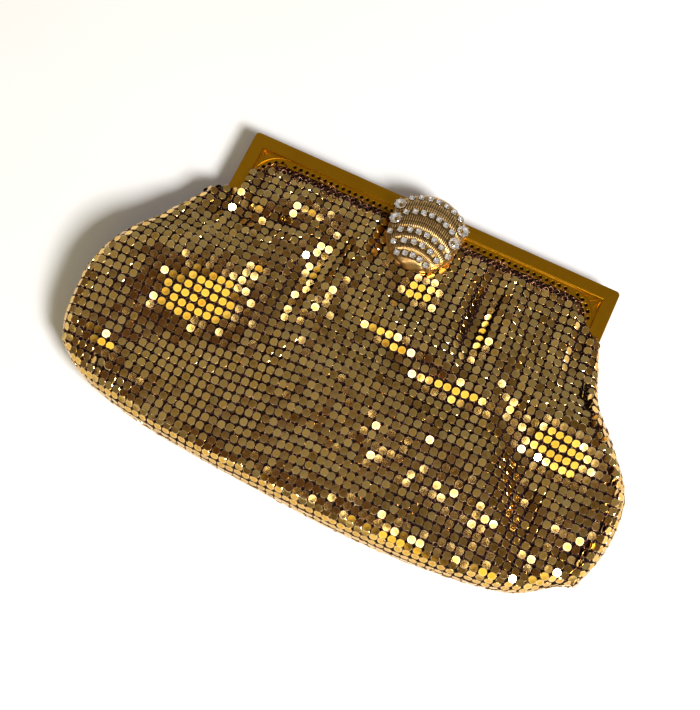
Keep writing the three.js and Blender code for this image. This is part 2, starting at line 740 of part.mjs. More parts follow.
// Closed solid between the two sheets. The back is one flat face inside its rolled edges.
function pouchSolid(inset, mouthReach) {
  const { front, back } = sheets(inset);
  if (mouthReach > 0) {
    for (const sheet of [front, back]) {
      sheet.unshift(sheet[0].map((point) => point.clone().setY(point.y + mouthReach)));
    }
  }
  const wide = front[0].length;
  const tall = front.length;
  const points = [...front.flat(), ...back.flat()];
  const backStart = wide * tall;
  const flatRight = wide - 1 - rollSteps;
  const flatBottom = tall - 1 - rollSteps;
  const triangles = [];
  for (let r = 0; r < tall - 1; r++) {
    for (let i = 0; i < wide - 1; i++) {
      const a = r * wide + i;
      triangles.push(a, a + wide, a + 1, a + 1, a + wide, a + wide + 1);
      if (r < flatBottom && i >= rollSteps && i < flatRight) continue;
      const b = backStart + a;
      triangles.push(b, b + 1, b + wide, b + 1, b + wide + 1, b + wide);
    }
  }
  for (let i = 0; i < wide - 1; i++) {
    const b = backStart + i;
    triangles.push(i, i + 1, b, i + 1, b + 1, b);
  }
  const ring = [];
  for (let i = rollSteps; i < flatRight; i++) ring.push(backStart + i);
  for (let r = 0; r < flatBottom; r++) ring.push(backStart + r * wide + flatRight);
  for (let i = flatRight; i > rollSteps; i--) ring.push(backStart + flatBottom * wide + i);
  for (let r = flatBottom; r > 0; r--) ring.push(backStart + r * wide + rollSteps);
  const outline = ring.map((corner) => new THREE.Vector2(points[corner].x, points[corner].y));
  for (const [a, b, c] of THREE.ShapeUtils.triangulateShape(outline, [])) {
    triangles.push(ring[a], ring[c], ring[b]);
  }
  const geometry = new THREE.BufferGeometry();
  geometry.setAttribute('position', new THREE.Float32BufferAttribute(points.flatMap((p) => p.toArray()), 3));
  geometry.setIndex(triangles);
  return solidOf(geometry.toNonIndexed());
}

const bagSolid = () => pouchSolid(0, 0).subtract(pouchSolid(bagWall, bagThick));

// Assembly

const purse = new THREE.Group();

function place(name, geometry, material) {
  const mesh = new THREE.Mesh(geometry, material);
  mesh.name = name;
  purse.add(mesh);
  return mesh;
}

const backHalf = joined([withEars(frameHalfSolid(false), false), ...knuckles()]).subtract(pinHole());

place('frame_front', geometryOf(withEars(frameHalfSolid(true), true)), frameGold);
place('frame_back', geometryOf(backHalf), frameGold);
place('hinge_rivet_left', geometryOf(rivetSolid(-1)), pinGold);
place('hinge_rivet_right', geometryOf(rivetSolid(1)), pinGold);
place('mesh_bag', geometryOf(bagSolid()), meshGold);
place('clasp', geometryOf(claspSolid()), claspGold);
place('clasp_pin', geometryOf(hingePinSolid()), pinGold);

stonePlaces().forEach((seat, i) => {
  const stone = place(`stone_${i + 1}`, stoneGeometry(seat.radius, seat.sides), stoneGlass);
  stone.position.copy(seat.place);
  stone.quaternion.setFromUnitVectors(new THREE.Vector3(0, 0, 1), seat.normal);
});

// Centre the purse over its own footprint, with its flat back at the floor
purse.updateMatrixWorld(true);
const extent = new THREE.Box3().setFromObject(purse, true);
const centre = extent.getCenter(new THREE.Vector3());
purse.position.set(-centre.x, -centre.y, -extent.min.z);
purse.updateMatrixWorld(true);

export default purse;
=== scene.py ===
"""Looks of a gold metal mesh evening purse that lies closed on its back.

Lengths are worked out in millimetres, in a layout whose origin is the middle of the frame's
top edge: +X along the frame, +Y from the bag towards the frame, +Z up. They are turned into
metres in the shared frame when a piece is made.
"""

import math

import bpy
import numpy as np
from mathutils import Matrix, Vector


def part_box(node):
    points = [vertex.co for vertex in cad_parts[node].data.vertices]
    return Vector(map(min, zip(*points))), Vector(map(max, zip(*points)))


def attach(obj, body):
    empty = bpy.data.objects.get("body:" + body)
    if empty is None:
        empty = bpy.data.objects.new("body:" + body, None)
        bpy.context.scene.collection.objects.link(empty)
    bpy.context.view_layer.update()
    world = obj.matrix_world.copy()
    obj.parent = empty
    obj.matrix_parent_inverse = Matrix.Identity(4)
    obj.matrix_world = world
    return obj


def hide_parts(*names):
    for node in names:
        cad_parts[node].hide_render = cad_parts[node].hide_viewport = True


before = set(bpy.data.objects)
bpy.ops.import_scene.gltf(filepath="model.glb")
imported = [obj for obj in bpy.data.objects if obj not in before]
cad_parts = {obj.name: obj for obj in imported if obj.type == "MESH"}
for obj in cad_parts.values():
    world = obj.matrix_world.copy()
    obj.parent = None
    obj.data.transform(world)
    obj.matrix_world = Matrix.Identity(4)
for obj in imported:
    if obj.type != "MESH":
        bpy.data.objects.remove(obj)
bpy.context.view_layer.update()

# Sizes of the frame, in millimetres
FRAME_WIDTH = 154.0
LEG_LENGTH = 28.0
FRAME_DEPTH = 9.8
SEAM_GAP = 0.4
PLATE_THICK = 1.4
RIM_THICK = 1.2
BAND_WIDTH = 5.2
FLANGE_WIDTH = 3.4
FLANGE_THICK = 1.0
FLANGE_RECESS = 0.6
CORNER_ROUND = 1.6
ARCH_RADIUS = 12.0
BEAD_WIDTH = 0.6
HOLE_RADIUS = 0.72
HOLE_PITCH = 2.6
HOLE_SETBACK = 2.0
CORNER_HOLES = 5
FAN_DEGREES = (24, 38, 52, 66)
FAN_START = 0.1
FAN_RADII = (0.5, 0.22)
BAND_ROUND = 0.3
FLANGE_ROUND = 0.06
RIM_ROUND = 0.05
FLANGE_LAP = 0.3
BEAD_SINK = 0.12

# Sizes of the mesh bag
BAG_WIDTH = 218.0
BAG_HEIGHT = 128.5
BAG_THICK = 27.0
BAG_WALL = 1.2
WALL_GAP = 0.4
LEG_SIDE_GAP = 0.7
MESH_SETBACK = 5.1
SWELL_END = 0.56
SWELL_POWER = 1.8
SIDE_FALL = 0.22
BOTTOM_FALL = 0.27
BOTTOM_FALL_START = 0.62
FOLD_START = 0.12
STEP_FADE = 3.2
EDGE_HEIGHT = 12.5
SIDE_ROLL = 6.0
BOTTOM_ROLL = 5.0
BACK_ROLL = 4.5
MOUTH_ROLL = 1.9
ROLL_START = 0.04
ROLL_END = 0.35
MOUTH_END_LEFT = 0.66
MOUTH_END_RIGHT = 0.9

# Sizes of the discs and their rings
DISC_RADIUS = 1.59
DISC_SIDES = 14
DISC_PROFILE = [(0.92, 0.19), (1.0, 0.07), (1.0, -0.08)]  # (share of the radius, height)
DISC_MIDDLE = 0.17
DISC_SINK = 0.32
DISC_JITTER = 0.07
COLUMN_PITCH = 3.2
ROW_PITCH = 3.38
FIRST_ROW = 2.8
NET_MARGIN = 16.0
CLOTH_STEP = 0.35
STEEPENED = 1.3
EDGE_SLACK = 0.2
MOUTH_SLACK = 0.3
OUTLINE_SLACK = 0.15
LEAST_RISE = 2.0
RING_RADIUS = 0.95
TIE_RADIUS = 1.1
RING_WIRE = 0.2
RING_SINK = 0.62
RING_TILT = 0.2
TIE_ROWS = [(1.7, 0.5), (3.2, 0.0), (4.6, 0.5)]  # (reach from the hole, shift in hole pitches)
TIE_RISE = 0.55
GROUND_SINK = 1.05
GROUND_INSET = 1.2
GROUND_ROWS = 60
GROUND_COLUMNS = 110

# How the discs lie, in degrees where it is an angle
CALM_SPREAD = 3.0
PATCH_SPREAD = 2.0
PATCH_FIRMNESS = 4.0
CALM_SHARE = 0.55
BACK_LEVEL = 0.6
EDGE_RUNS = (0.0, 0.8, 1.6, 2.4)
EDGE_ROOM = 2.65
FOOT_WAY = (-0.67, 0.74)
FOOT_CLEAR = 0.9
FOOT_REACH = (2.4, 14.0)
FOOT_SETBACK = 1.4
FOOT_GRID = 24
LEG_BARE = 2.2
LEG_SLOPE = 0.9
LEG_MARGIN = 0.8
LEAN_INSET = (6.0, 11.0)
SEAM_INSET = (3.2, 7.2)
SEAM_START = 0.12
SEAM_TILT = (0.5, 1.2)  # radians
SEAT_SPREAD = 0.05
TONE_MEAN = 0.42
TONE_SPREAD = 0.14
TONE_TOP = 0.85
# Discs that face sideways get a darker tone as painted shade: the range of the upward part of their facing
# over which it fades out, and how deep it goes
SIDE_ON = (0.4, 0.92)
SIDE_ON_PAINTED_SHADE = 0.9

# Sizes of the clasp
CLASP_WIDTH = 29.6
CLASP_LENGTH = 32.9
CLASP_OVERHANG = 4.2
CLASP_HEIGHT = 7.4
CLASP_EDGE = 1.7
CLASP_TILT = 7.0
CLASP_LIFT = 0.7
LEVER_WIDTH = 7.4
LEVER_THICK = 1.0
LEVER_DROP = 9.0
KNUCKLE_RADIUS = 1.5
KNUCKLE_LENGTH = 3.2
RUNNING_GAP = 0.3
SMALL_STONE = 2.2
LARGE_STONE = 4.2
RIB_COUNT = 17
RIB_RISE = 0.22
ARC_RISE = 0.42
STONE_RAISE = {SMALL_STONE: 0.4, LARGE_STONE: 0.9}
STONE_UPWARD = 0.9
STONE_SPREAD = 1.08
STONE_SEAT = 0.1
PRONGS = {SMALL_STONE: (4, 0.24), LARGE_STONE: (8, 0.3)}  # count and radius
PRONG_PLACE = (1.02, 0.24)  # out and up, as shares of the stone's radius
COLLAR_PLACE = (1.08, 0.02)
COLLAR_SIDES = 16
COLLAR_WIRE = 0.16
PLATE_COLUMNS = 150
ROWS_PER_BAND = 7

FRAME_HALF = FRAME_WIDTH / 2
BAG_HALF = BAG_WIDTH / 2
FRAME_BACK = BAG_WALL + WALL_GAP
FRAME_FACE = FRAME_BACK + FRAME_DEPTH
FRAME_MIDDLE = (FRAME_BACK + FRAME_FACE) / 2
ARCH_X = FRAME_HALF - BAND_WIDTH - ARCH_RADIUS
ARCH_Y = -BAND_WIDTH - ARCH_RADIUS

# The layout's origin in the shared frame
front_low, front_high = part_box("frame_front")
SHIFT = np.array([(front_low.x + front_high.x) * 500, front_high.y * 1000, 0.0])


def placed(points):
    """Layout points in millimetres as points of the shared frame in metres."""
    return (np.asarray(points, float) + SHIFT) / 1000


def ease(value, low, high):
    """Smooth step from 0 at low to 1 at high."""
    share = np.clip((np.asarray(value, float) - low) / (high - low), 0, 1)
    return share * share * (3 - 2 * share)


# Camera, at the photograph's angle

CAMERA_AZIMUTH = 20.39
CAMERA_ELEVATION = 74.4
CAMERA_ROLL = 5.0
CAMERA_DISTANCE = 478.0
CAMERA_TARGET = (-6.63, -63.7, 0.0)
FOCAL_PIXELS = 1250.0
LONG_SIDE_PIXELS = 710.0
SENSOR = 36.0


def view_direction():
    """From the purse towards the camera."""
    azimuth = math.radians(CAMERA_AZIMUTH)
    elevation = math.radians(CAMERA_ELEVATION)
    return Vector((
        math.sin(azimuth) * math.cos(elevation),
        -math.cos(azimuth) * math.cos(elevation),
        math.sin(elevation),
    ))


def make_camera():
    back = view_direction()
    right = Vector((math.cos(math.radians(CAMERA_AZIMUTH)), math.sin(math.radians(CAMERA_AZIMUTH)), 0))
    up = back.cross(right)
    turn = Matrix.Rotation(math.radians(CAMERA_ROLL), 3, back)
    right = turn @ right
    up = turn @ up
    data = bpy.data.cameras.new("camera")
    data.sensor_width = SENSOR
    data.sensor_fit = "AUTO"
    data.lens = FOCAL_PIXELS * SENSOR / LONG_SIDE_PIXELS
    data.clip_start = 0.01
    camera = bpy.data.objects.new("camera", data)
    bpy.context.scene.collection.objects.link(camera)
    place = Vector(placed(CAMERA_TARGET)) + back * (CAMERA_DISTANCE / 1000)
    axes = Matrix((right, up, back)).transposed().to_4x4()
    camera.matrix_world = Matrix.Translation(place) @ axes
    bpy.context.scene.camera = camera


# Materials

def adder(tree):
    """A function that adds a node to this tree, with its inputs set or linked."""
    def add(kind, inputs=None, **settings):
        node = tree.nodes.new(kind)
        for key, value in settings.items():
            setattr(node, key, value)
        for key, value in (inputs or {}).items():
            if isinstance(value, bpy.types.NodeSocket):
                tree.links.new(value, node.inputs[key])
            else:
                node.inputs[key].default_value = value
        return node

    return add


def new_material(name):
    """A node material, its shader and a function that adds nodes."""
    material = bpy.data.materials.new(name)
    material.use_nodes = True
    return material, material.node_tree.nodes["Principled BSDF"], adder(material.node_tree)


def ramp(add, factor, stops):
    node = add("ShaderNodeValToRGB", {"Fac": factor})
    elements = node.color_ramp.elements
    while len(elements) < len(stops):
        elements.new(0.5)
    for element, (place, colour) in zip(elements, stops):
        element.position = place
        element.color = (*colour, 1)
    return node.outputs["Color"]


def noise(add, scale, detail=4.0, roughness=0.55):
    place = add("ShaderNodeTexCoord").outputs["Object"]
    inputs = {"Vector": place, "Scale": scale, "Detail": detail, "Roughness": roughness}
    return add("ShaderNodeTexNoise", inputs).outputs["Fac"]


def plug(shader, name, socket):
    shader.id_data.links.new(socket, shader.inputs[name])


def bump(shader, add, height, strength, distance):
    node = add("ShaderNodeBump", {"Height": height, "Strength": strength, "Distance": distance})
    plug(shader, "Normal", node.outputs["Normal"])


def roughened(shader, add, grain, low, high):
    """Roughness that runs from low to high with the grain."""
    node = add("ShaderNodeMapRange", {"Value": grain, "To Min": low, "To Max": high})
    plug(shader, "Roughness", node.outputs["Result"])


def with_share(add, value, share, other):
    """A value plus a share of another one."""
    part = add("ShaderNodeMath", {0: other, 1: share}, operation="MULTIPLY").outputs[0]
    return add("ShaderNodeMath", {0: value, 1: part}, operation="ADD").outputs[0]


def tinted(name, scale, stops, roughness, metallic=0.0):
    """A material whose colour wanders between close tones."""
    material, shader, add = new_material(name)
    plug(shader, "Base Color", ramp(add, noise(add, scale), stops))
    shader.inputs["Roughness"].default_value = roughness
    shader.inputs["Metallic"].default_value = metallic
    return material, shader, add


def disc_material():
    """Gold discs: each has its own tone, darkened as painted shade where the disc faces sideways; its rim is
    paler than its middle as a painted highlight, and its face is finely mottled.
    """
    material, shader, add = new_material("gold_discs")
    # This attribute holds each disc's random tone with the painted shade of sideways discs in it
    tone_and_painted_shade = add("ShaderNodeAttribute", attribute_name="tone_and_painted_shade").outputs["Fac"]
    rim = add("ShaderNodeAttribute", attribute_name="rim").outputs["Fac"]
    mottle = noise(add, 900.0)
    total = with_share(add, tone_and_painted_shade, 0.3, mottle)
    face = ramp(add, total, [
        (0.0, (0.33, 0.17, 0.035)), (0.25, (0.66, 0.38, 0.06)),
        (0.5, (0.84, 0.52, 0.12)), (1.0, (0.97, 0.68, 0.22)),
    ])
    # Painted highlight: the rim is mixed towards a paler colour than the face, as if it caught the light
    ring = ramp(add, total, [(0.0, (0.4, 0.24, 0.09)), (0.25, (0.78, 0.52, 0.2)), (1.0, (0.94, 0.7, 0.36))])
    share = ramp(add, rim, [(0.5, (0, 0, 0)), (0.86, (1, 1, 1))])
    colour = add("ShaderNodeMixRGB", {"Fac": share, "Color1": face, "Color2": ring}).outputs["Color"]
    plug(shader, "Base Color", colour)
    shader.inputs["Metallic"].default_value = 1.0
    roughened(shader, add, mottle, 0.1, 0.2)
    bump(shader, add, noise(add, 2600.0, 2.0), 0.08, 0.0001)
    return material


def ground_material():
    """The inside that shows between the discs, coloured near black as painted shade in the gaps."""
    tones = [(0.3, (0.004, 0.001, 0.001)), (0.7, (0.015, 0.004, 0.003))]
    material, shader, add = tinted("painted_shade_inside", 500.0, tones, 0.8)
    shader.inputs["Specular IOR Level"].default_value = 0.15
    bump(shader, add, noise(add, 1500.0), 0.4, 0.0003)
    return material


def ring_material():
    """Small connecting rings: darkened brass wire."""
    tones = [(0.35, (0.07, 0.02, 0.015)), (0.6, (0.24, 0.12, 0.07)), (0.8, (0.6, 0.4, 0.25))]
    return tinted("ring_wire", 700.0, tones, 0.3, 1.0)[0]


def frame_material(name):
    """Brown gold plate, brushed fine and a little worn."""
    material, shader, add = new_material(name)
    fine = noise(add, 420.0, 6.0, 0.7)
    tones = [(0.3, (0.5, 0.22, 0.006)), (0.55, (0.57, 0.265, 0.008)), (0.8, (0.63, 0.3, 0.012))]
    plug(shader, "Base Color", ramp(add, noise(add, 28.0, 3.0), tones))
    shader.inputs["Metallic"].default_value = 1.0
    roughened(shader, add, fine, 0.28, 0.38)
    bump(shader, add, fine, 0.12, 0.0002)
    return material


def clasp_material():
    """Cast antique gold: bright on raised edges and dark in the hollows."""
    material, shader, add = new_material("antique_gold")
    pointy = add("ShaderNodeNewGeometry").outputs["Pointiness"]
    worn = add("ShaderNodeMapRange", {"Value": pointy, "From Min": 0.44, "From Max": 0.56}).outputs["Result"]
    grain = noise(add, 600.0)
    colour = ramp(add, with_share(add, worn, 0.4, grain), [
        (0.25, (0.05, 0.035, 0.02)), (0.6, (0.3, 0.185, 0.065)),
        (0.85, (0.62, 0.385, 0.14)), (1.0, (0.78, 0.52, 0.22)),
    ])
    plug(shader, "Base Color", colour)
    shader.inputs["Metallic"].default_value = 1.0
    roughened(shader, add, grain, 0.3, 0.5)
    bump(shader, add, grain, 0.6, 0.0003)
    return material


def stone_material():
    """Clear cut glass."""
    tones = [(0.3, (0.92, 0.93, 0.95)), (0.7, (1.0, 0.99, 0.97))]
    material, shader, add = tinted("clear_glass", 300.0, tones, 0.02)
    shader.inputs["IOR"].default_value = 1.58
    shader.inputs["Transmission Weight"].default_value = 1.0
    return material


def foil_material():
    """The silvered back of each stone."""
    return tinted("silver_foil", 400.0, [(0.3, (0.86, 0.85, 0.88)), (0.7, (1.0, 0.98, 0.97))], 0.2, 0.45)[0]


def floor_material():
    return tinted("pale_floor", 6.0, [(0.3, (0.86, 0.86, 0.86)), (0.7, (0.9, 0.9, 0.9))], 0.7)[0]


# Mesh making

def mesh_object(name, points, faces, materials, smooth=False, face_materials=None):
    """A mesh from layout points, with an optional material number for each face."""
    data = bpy.data.meshes.new(name)
    data.from_pydata(placed(points).tolist(), [], faces)
    for material in materials:
        data.materials.append(material)
    if face_materials is not None:
        data.polygons.foreach_set("material_index", np.asarray(face_materials, np.int32))
    data.polygons.foreach_set("use_smooth", [smooth] * len(faces))
    data.update()
    piece = bpy.data.objects.new(name, data)
    bpy.context.scene.collection.objects.link(piece)
    return piece


def grid_faces(tall, wide):
    """Four-sided faces between the points of a grid, row by row."""
    corners = (np.arange(tall - 1)[:, None] * wide + np.arange(wide - 1)).reshape(-1, 1)
    return (corners + [0, wide, wide + 1, 1]).tolist()


def plate(outlines, low, high, bevel):
    """A flat plate with holes and rounded edges: its first outline is the edge, the others holes.
    Returns layout points and faces."""
    data = bpy.data.curves.new("plate", "CURVE")
    data.dimensions = "2D"
    data.fill_mode = "BOTH"
    data.extrude = (high - low) / 2 - bevel
    data.bevel_depth = bevel
    data.bevel_resolution = 1
    data.offset = -bevel
    for outline in outlines:
        spline = data.splines.new("POLY")
        spline.points.add(len(outline) - 1)
        spline.points.foreach_set("co", [c for x, y in outline for c in (x, y, 0, 1)])
        spline.use_cyclic_u = True
    holder = bpy.data.objects.new("plate", data)
    mesh = bpy.data.meshes.new_from_object(holder)
    points = np.zeros(len(mesh.vertices) * 3)
    mesh.vertices.foreach_get("co", points)
    points = points.reshape(-1, 3) + [0, 0, (low + high) / 2]
    faces = [list(p.vertices) for p in mesh.polygons]
    bpy.data.objects.remove(holder)
    bpy.data.curves.remove(data)
    bpy.data.meshes.remove(mesh)
    return points, faces


def tube(path, radius, sides=8, closed=False):
    """A round bar along a path that is nowhere upright, tapering where radius is a list.
    Returns points and faces."""
    path = np.asarray(path, float)
    along = np.roll(path, -1, 0) - np.roll(path, 1, 0) if closed else np.gradient(path, axis=0)
    along /= np.linalg.norm(along, axis=1, keepdims=True)
    side = np.cross(along, (0.0, 0.0, 1.0))
    side /= np.linalg.norm(side, axis=1, keepdims=True)
    up = np.cross(side, along)
    angles = np.arange(sides) / sides * 2 * math.pi
    ring = np.cos(angles)[None, :, None] * side[:, None] + np.sin(angles)[None, :, None] * up[:, None]
    points = (path[:, None] + ring * np.broadcast_to(radius, len(path))[:, None, None]).reshape(-1, 3)
    rings = np.arange(len(points)).reshape(-1, sides)
    joined = np.vstack([rings, rings[:1]]) if closed else rings
    turned = np.roll(joined, -1, 1)
    faces = np.stack([joined[:-1], turned[:-1], turned[1:], joined[1:]], 2).reshape(-1, 4).tolist()
    if not closed:
        faces += [rings[0, ::-1].tolist(), rings[-1].tolist()]
    return points, faces


def merged(parts):
    """Several (points, faces) as one."""
    points, faces, start = [], [], 0
    for part_points, part_faces in parts:
        points.append(np.asarray(part_points, float))
        faces.extend([[v + start for v in face] for face in part_faces])
        start += len(part_points)
    return np.concatenate(points), faces


def copies(base_points, base_faces, places, axes):
    """Copies of a small form at many places; axes holds a 3 by 3 matrix for each, columns x, y and z."""
    base = np.asarray(base_points, float)
    points = np.einsum("nij,vj->nvi", axes, base) + np.asarray(places)[:, None]
    starts = range(0, len(places) * len(base), len(base))
    faces = [[v + start for v in face] for start in starts for face in base_faces]
    return points.reshape(-1, 3), faces


# Outlines of the bag, in the columns used for its solid

LEFT_SIDE = [  # (share of the reach past the frame's edge, share of the bag's height)
    (0.175, 0.209), (0.49, 0.354), (0.77, 0.458), (0.94, 0.549),
    (1.0, 0.63), (0.99, 0.7), (0.95, 0.778), (0.84, 0.842),
]
RIGHT_SIDE = [
    (0.128, 0.241), (0.27, 0.341), (0.57, 0.436), (0.86, 0.53), (0.97, 0.592),
    (1.0, 0.66), (0.97, 0.737), (0.89, 0.808), (0.81, 0.852),
]
BOTTOM_FOLD = [  # (share of half the bag's width, share of the bag's height)
    (-0.85, 0.903), (-0.645, 0.952), (-0.385, 0.976), (-0.1, 0.99),
    (0.18, 1.0), (0.525, 0.985), (0.775, 0.942), (0.9, 0.872),
]

# Folds of the front: (across, down, half length, half width, turn in degrees, rise).
# across is a share of half the bag's width, the lengths of its height and rise of its thickness.
FOLDS = [
    (-0.29, 0.38, 0.22, 0.045, 88, -0.16), (-0.22, 0.42, 0.17, 0.045, 84, 0.1),
    (-0.37, 0.27, 0.12, 0.05, 70, 0.08), (-0.68, 0.5, 0.17, 0.06, 14, -0.03),
    (-0.72, 0.42, 0.2, 0.05, 28, 0.06), (-0.76, 0.79, 0.14, 0.045, 20, -0.08),
    (0.03, 0.3, 0.1, 0.05, 84, -0.07),
    (0.31, 0.3, 0.17, 0.04, 97, -0.15), (0.42, 0.29, 0.14, 0.05, 100, 0.09),
    (0.18, 0.5, 0.24, 0.05, 164, -0.09), (0.12, 0.41, 0.2, 0.05, 165, 0.07),
    (0.55, 0.52, 0.16, 0.045, 122, -0.15), (0.7, 0.76, 0.17, 0.045, 118, -0.15),
    (0.75, 0.48, 0.13, 0.06, 170, 0.05), (0.53, 0.68, 0.14, 0.07, 115, 0.07),
    (0.88, 0.8, 0.09, 0.04, 150, -0.08), (0.2, 0.9, 0.24, 0.05, 178, 0.05),
    (-0.45, 0.12, 0.05, 0.03, 90, 0.05), (0.62, 0.13, 0.05, 0.03, 90, 0.05),
]

# Steps where the front drops towards the bottom fold: as FOLDS, with the drop as a share of thickness.
STEPS = [
    (-0.615, 0.584, 0.17, 0.054, 14, 0.35), (0.72, 0.535, 0.1, 0.046, -10, 0.3),
    (0.29, 0.515, 0.18, 0.028, -5, 0.13), (0.05, 0.455, 0.1, 0.026, -8, 0.1),
    (0.08, 0.27, 0.07, 0.03, 0, 0.14), (-0.78, 0.86, 0.12, 0.03, -22, 0.14),
    (-0.5, 0.24, 0.16, 0.035, 8, 0.14), (-0.16, 0.31, 0.08, 0.03, -25, 0.13),
]

# Where single discs stand at odd angles: as FOLDS, but with two columns for the rise,
# the spread of their tilt and how far they lean towards the bottom fold, both in degrees.
RUFFLES = [
    (-0.615, 0.584, 0.26, 0.14, 14, 11, 0), (-0.53, 0.27, 0.24, 0.13, 0, 12, 9),
    (-0.66, 0.49, 0.2, 0.03, 12, 5, 12), (-0.6, 0.69, 0.26, 0.03, 10, 5, 12),
    (-0.5, 0.45, 0.1, 0.08, 0, 10, 12), (-0.2, 0.43, 0.19, 0.065, 75, 11, 9),
    (-0.17, 0.26, 0.17, 0.08, 0, 11, 8), (0.07, 0.28, 0.13, 0.07, 0, 11, 8),
    (0.28, 0.51, 0.22, 0.05, -5, 11, 6), (0.23, 0.7, 0.31, 0.16, -10, 4, 3),
    (0.74, 0.51, 0.12, 0.09, 0, 9, 8), (-0.79, 0.84, 0.15, 0.05, -18, 10, 8),
    (0.82, 0.84, 0.1, 0.05, 20, 7, 3), (0.4, 0.22, 0.12, 0.07, 0, 5, 3),
]

# Patches where the discs lean towards the bottom fold together: as FOLDS, with the lean in degrees.
LEANS = [
    (-0.585, 0.57, 0.175, 0.112, 8, 34), (-0.45, 0.43, 0.08, 0.03, 70, 24),
    (-0.29, 0.358, 0.2, 0.03, 88, 25), (0.715, 0.545, 0.12, 0.076, -10, 36),
    (0.075, 0.265, 0.07, 0.05, 0, 33), (-0.2, 0.43, 0.15, 0.025, 70, 17),
    (0.33, 0.52, 0.14, 0.028, 0, 33), (0.06, 0.455, 0.1, 0.022, -8, 33),
    (-0.4, 0.18, 0.12, 0.035, 10, 24), (0.33, 0.3, 0.13, 0.025, 97, 30),
    (0.52, 0.5, 0.1, 0.025, 122, 25), (-0.82, 0.8, 0.1, 0.03, -20, 28),
]

# Most discs of a patch take one of a few leans: shares of a smooth lean, and the lean taken
LEAN_STEPS = ([0, 9, 12, 19, 22, 28, 36], [0, 9, 14.5, 16.5, 23, 31, 35])


def smooth_line(points, steps=24):
    """A centripetal Catmull-Rom line through 2-D points, as a dense polyline."""
    points = np.asarray(points, float)
    full = np.vstack([2 * points[0] - points[1], points, 2 * points[-1] - points[-2]])
    line = []
    for four in zip(full, full[1:], full[2:], full[3:]):
        knots = np.cumsum([0.0] + [math.sqrt(np.linalg.norm(b - a)) for a, b in zip(four, four[1:])])
        t = np.linspace(knots[1], knots[2], steps, endpoint=False)[:, None]
        values = list(four)
        for pairs in (((0, 1), (1, 2), (2, 3)), ((0, 2), (1, 3)), ((1, 2),)):
            values = [
                ((knots[b] - t) * first + (t - knots[a]) * second) / (knots[b] - knots[a])
                for (a, b), first, second in zip(pairs, values, values[1:])
            ]
        line.append(values[0])
    return np.vstack([*line, points[-1:]])


def mouth_corner(side, degrees):
    radius = ARCH_RADIUS - MESH_SETBACK
    angle = math.radians(degrees)
    return (side * (ARCH_X + radius * math.cos(angle)), ARCH_Y + radius * math.sin(angle))


MOUTH_X = FRAME_HALF + LEG_SIDE_GAP + BAG_WALL
MOUTH_Y = -(BAND_WIDTH + MESH_SETBACK)
MOUTH = smooth_line(
    [(-MOUTH_X, -MOUTH_END_LEFT * LEG_LENGTH)]
    + [mouth_corner(-1, degrees) for degrees in (35, 65, 90)]
    + [(share * ARCH_X, MOUTH_Y) for share in (-0.5, 0, 0.5)]
    + [mouth_corner(1, degrees) for degrees in (90, 60, 25)]
    + [(MOUTH_X, -MOUTH_END_RIGHT * LEG_LENGTH)]
)


def side_line(side, rows, start):
    reach = BAG_HALF - FRAME_HALF
    points = [(side * (FRAME_HALF + out * reach), -down * BAG_HEIGHT) for out, down in rows]
    return smooth_line([start] + points)


LEFT = side_line(-1, LEFT_SIDE, MOUTH[0])
RIGHT = side_line(1, RIGHT_SIDE, MOUTH[-1])
BOTTOM = smooth_line(
    [LEFT[-1]] + [(a * BAG_HALF, -d * BAG_HEIGHT) for a, d in BOTTOM_FOLD] + [RIGHT[-1]]
)
EDGE = np.vstack([LEFT, BOTTOM[1:], RIGHT[::-1][1:]])


def shares(x, y):
    """How far a point lies from left to right, and from the mouth to the bottom fold."""
    top = np.interp(x, MOUTH[:, 0], MOUTH[:, 1])
    low = np.interp(x, BOTTOM[:, 0], BOTTOM[:, 1])
    t = np.clip((top - y) / np.maximum(top - low, 1), 0, 1)
    left = np.interp(-y, -LEFT[:, 1], LEFT[:, 0])
    right = np.interp(-y, -RIGHT[:, 1], RIGHT[:, 0])
    s = np.clip((x - left) / (right - left), 0, 1)
    return s, t


def pleats(x, t):
    """Small gathers where the mesh is crowded onto the frame."""
    fade = ease(t, 0.0, 0.05) * (1 - ease(t, 0.12, 0.36))
    wave = np.sin(x * 0.52 + 1.3 * np.sin(x * 0.083)) + 0.6 * np.sin(x * 0.29 + 2.0)
    return 0.75 * fade * wave


def around(x, y, across, down, long, wide, turn):
    """Distances along and aside from a fold, as shares of its half length and half width."""
    angle = math.radians(turn)
    dx = x - across * BAG_HALF
    dy = y + down * BAG_HEIGHT
    along = (dx * math.cos(angle) + dy * math.sin(angle)) / (long * BAG_HEIGHT)
    aside = (dy * math.cos(angle) - dx * math.sin(angle)) / (wide * BAG_HEIGHT)
    return along, aside


def front_height(x, y, relief=1.0):
    """Height of the front's outside, without the roll at its edges."""
    s, t = shares(x, y)
    over_flange = FRAME_FACE - FLANGE_RECESS + WALL_GAP + BAG_WALL
    over_leg = FRAME_FACE + WALL_GAP + BAG_WALL
    start = over_flange + (over_leg - over_flange) * ease(np.abs(x), ARCH_X, FRAME_HALF - BAND_WIDTH)
    swell = np.sin(math.pi / 2 * np.minimum(1, t / SWELL_END)) ** SWELL_POWER
    sideways = 1 - SIDE_FALL * np.abs(2 * s - 1) ** 3
    downwards = 1 - BOTTOM_FALL * ease(t, BOTTOM_FALL_START, 1)
    height = start + (BAG_THICK - start) * swell * sideways * downwards
    folded = pleats(x, t)
    shown = BAG_THICK * ease(t, 0, FOLD_START)
    for *place, rise in FOLDS:
        along, aside = around(x, y, *place)
        folded = folded + rise * shown * np.exp(-along**2 - aside**2)
    for *place, drop in STEPS:
        along, aside = around(x, y, *place)
        folded = folded + drop / 2 * shown * np.tanh(aside) * np.exp(-along**2 - (aside / STEP_FADE) ** 2)
    return height + relief * folded


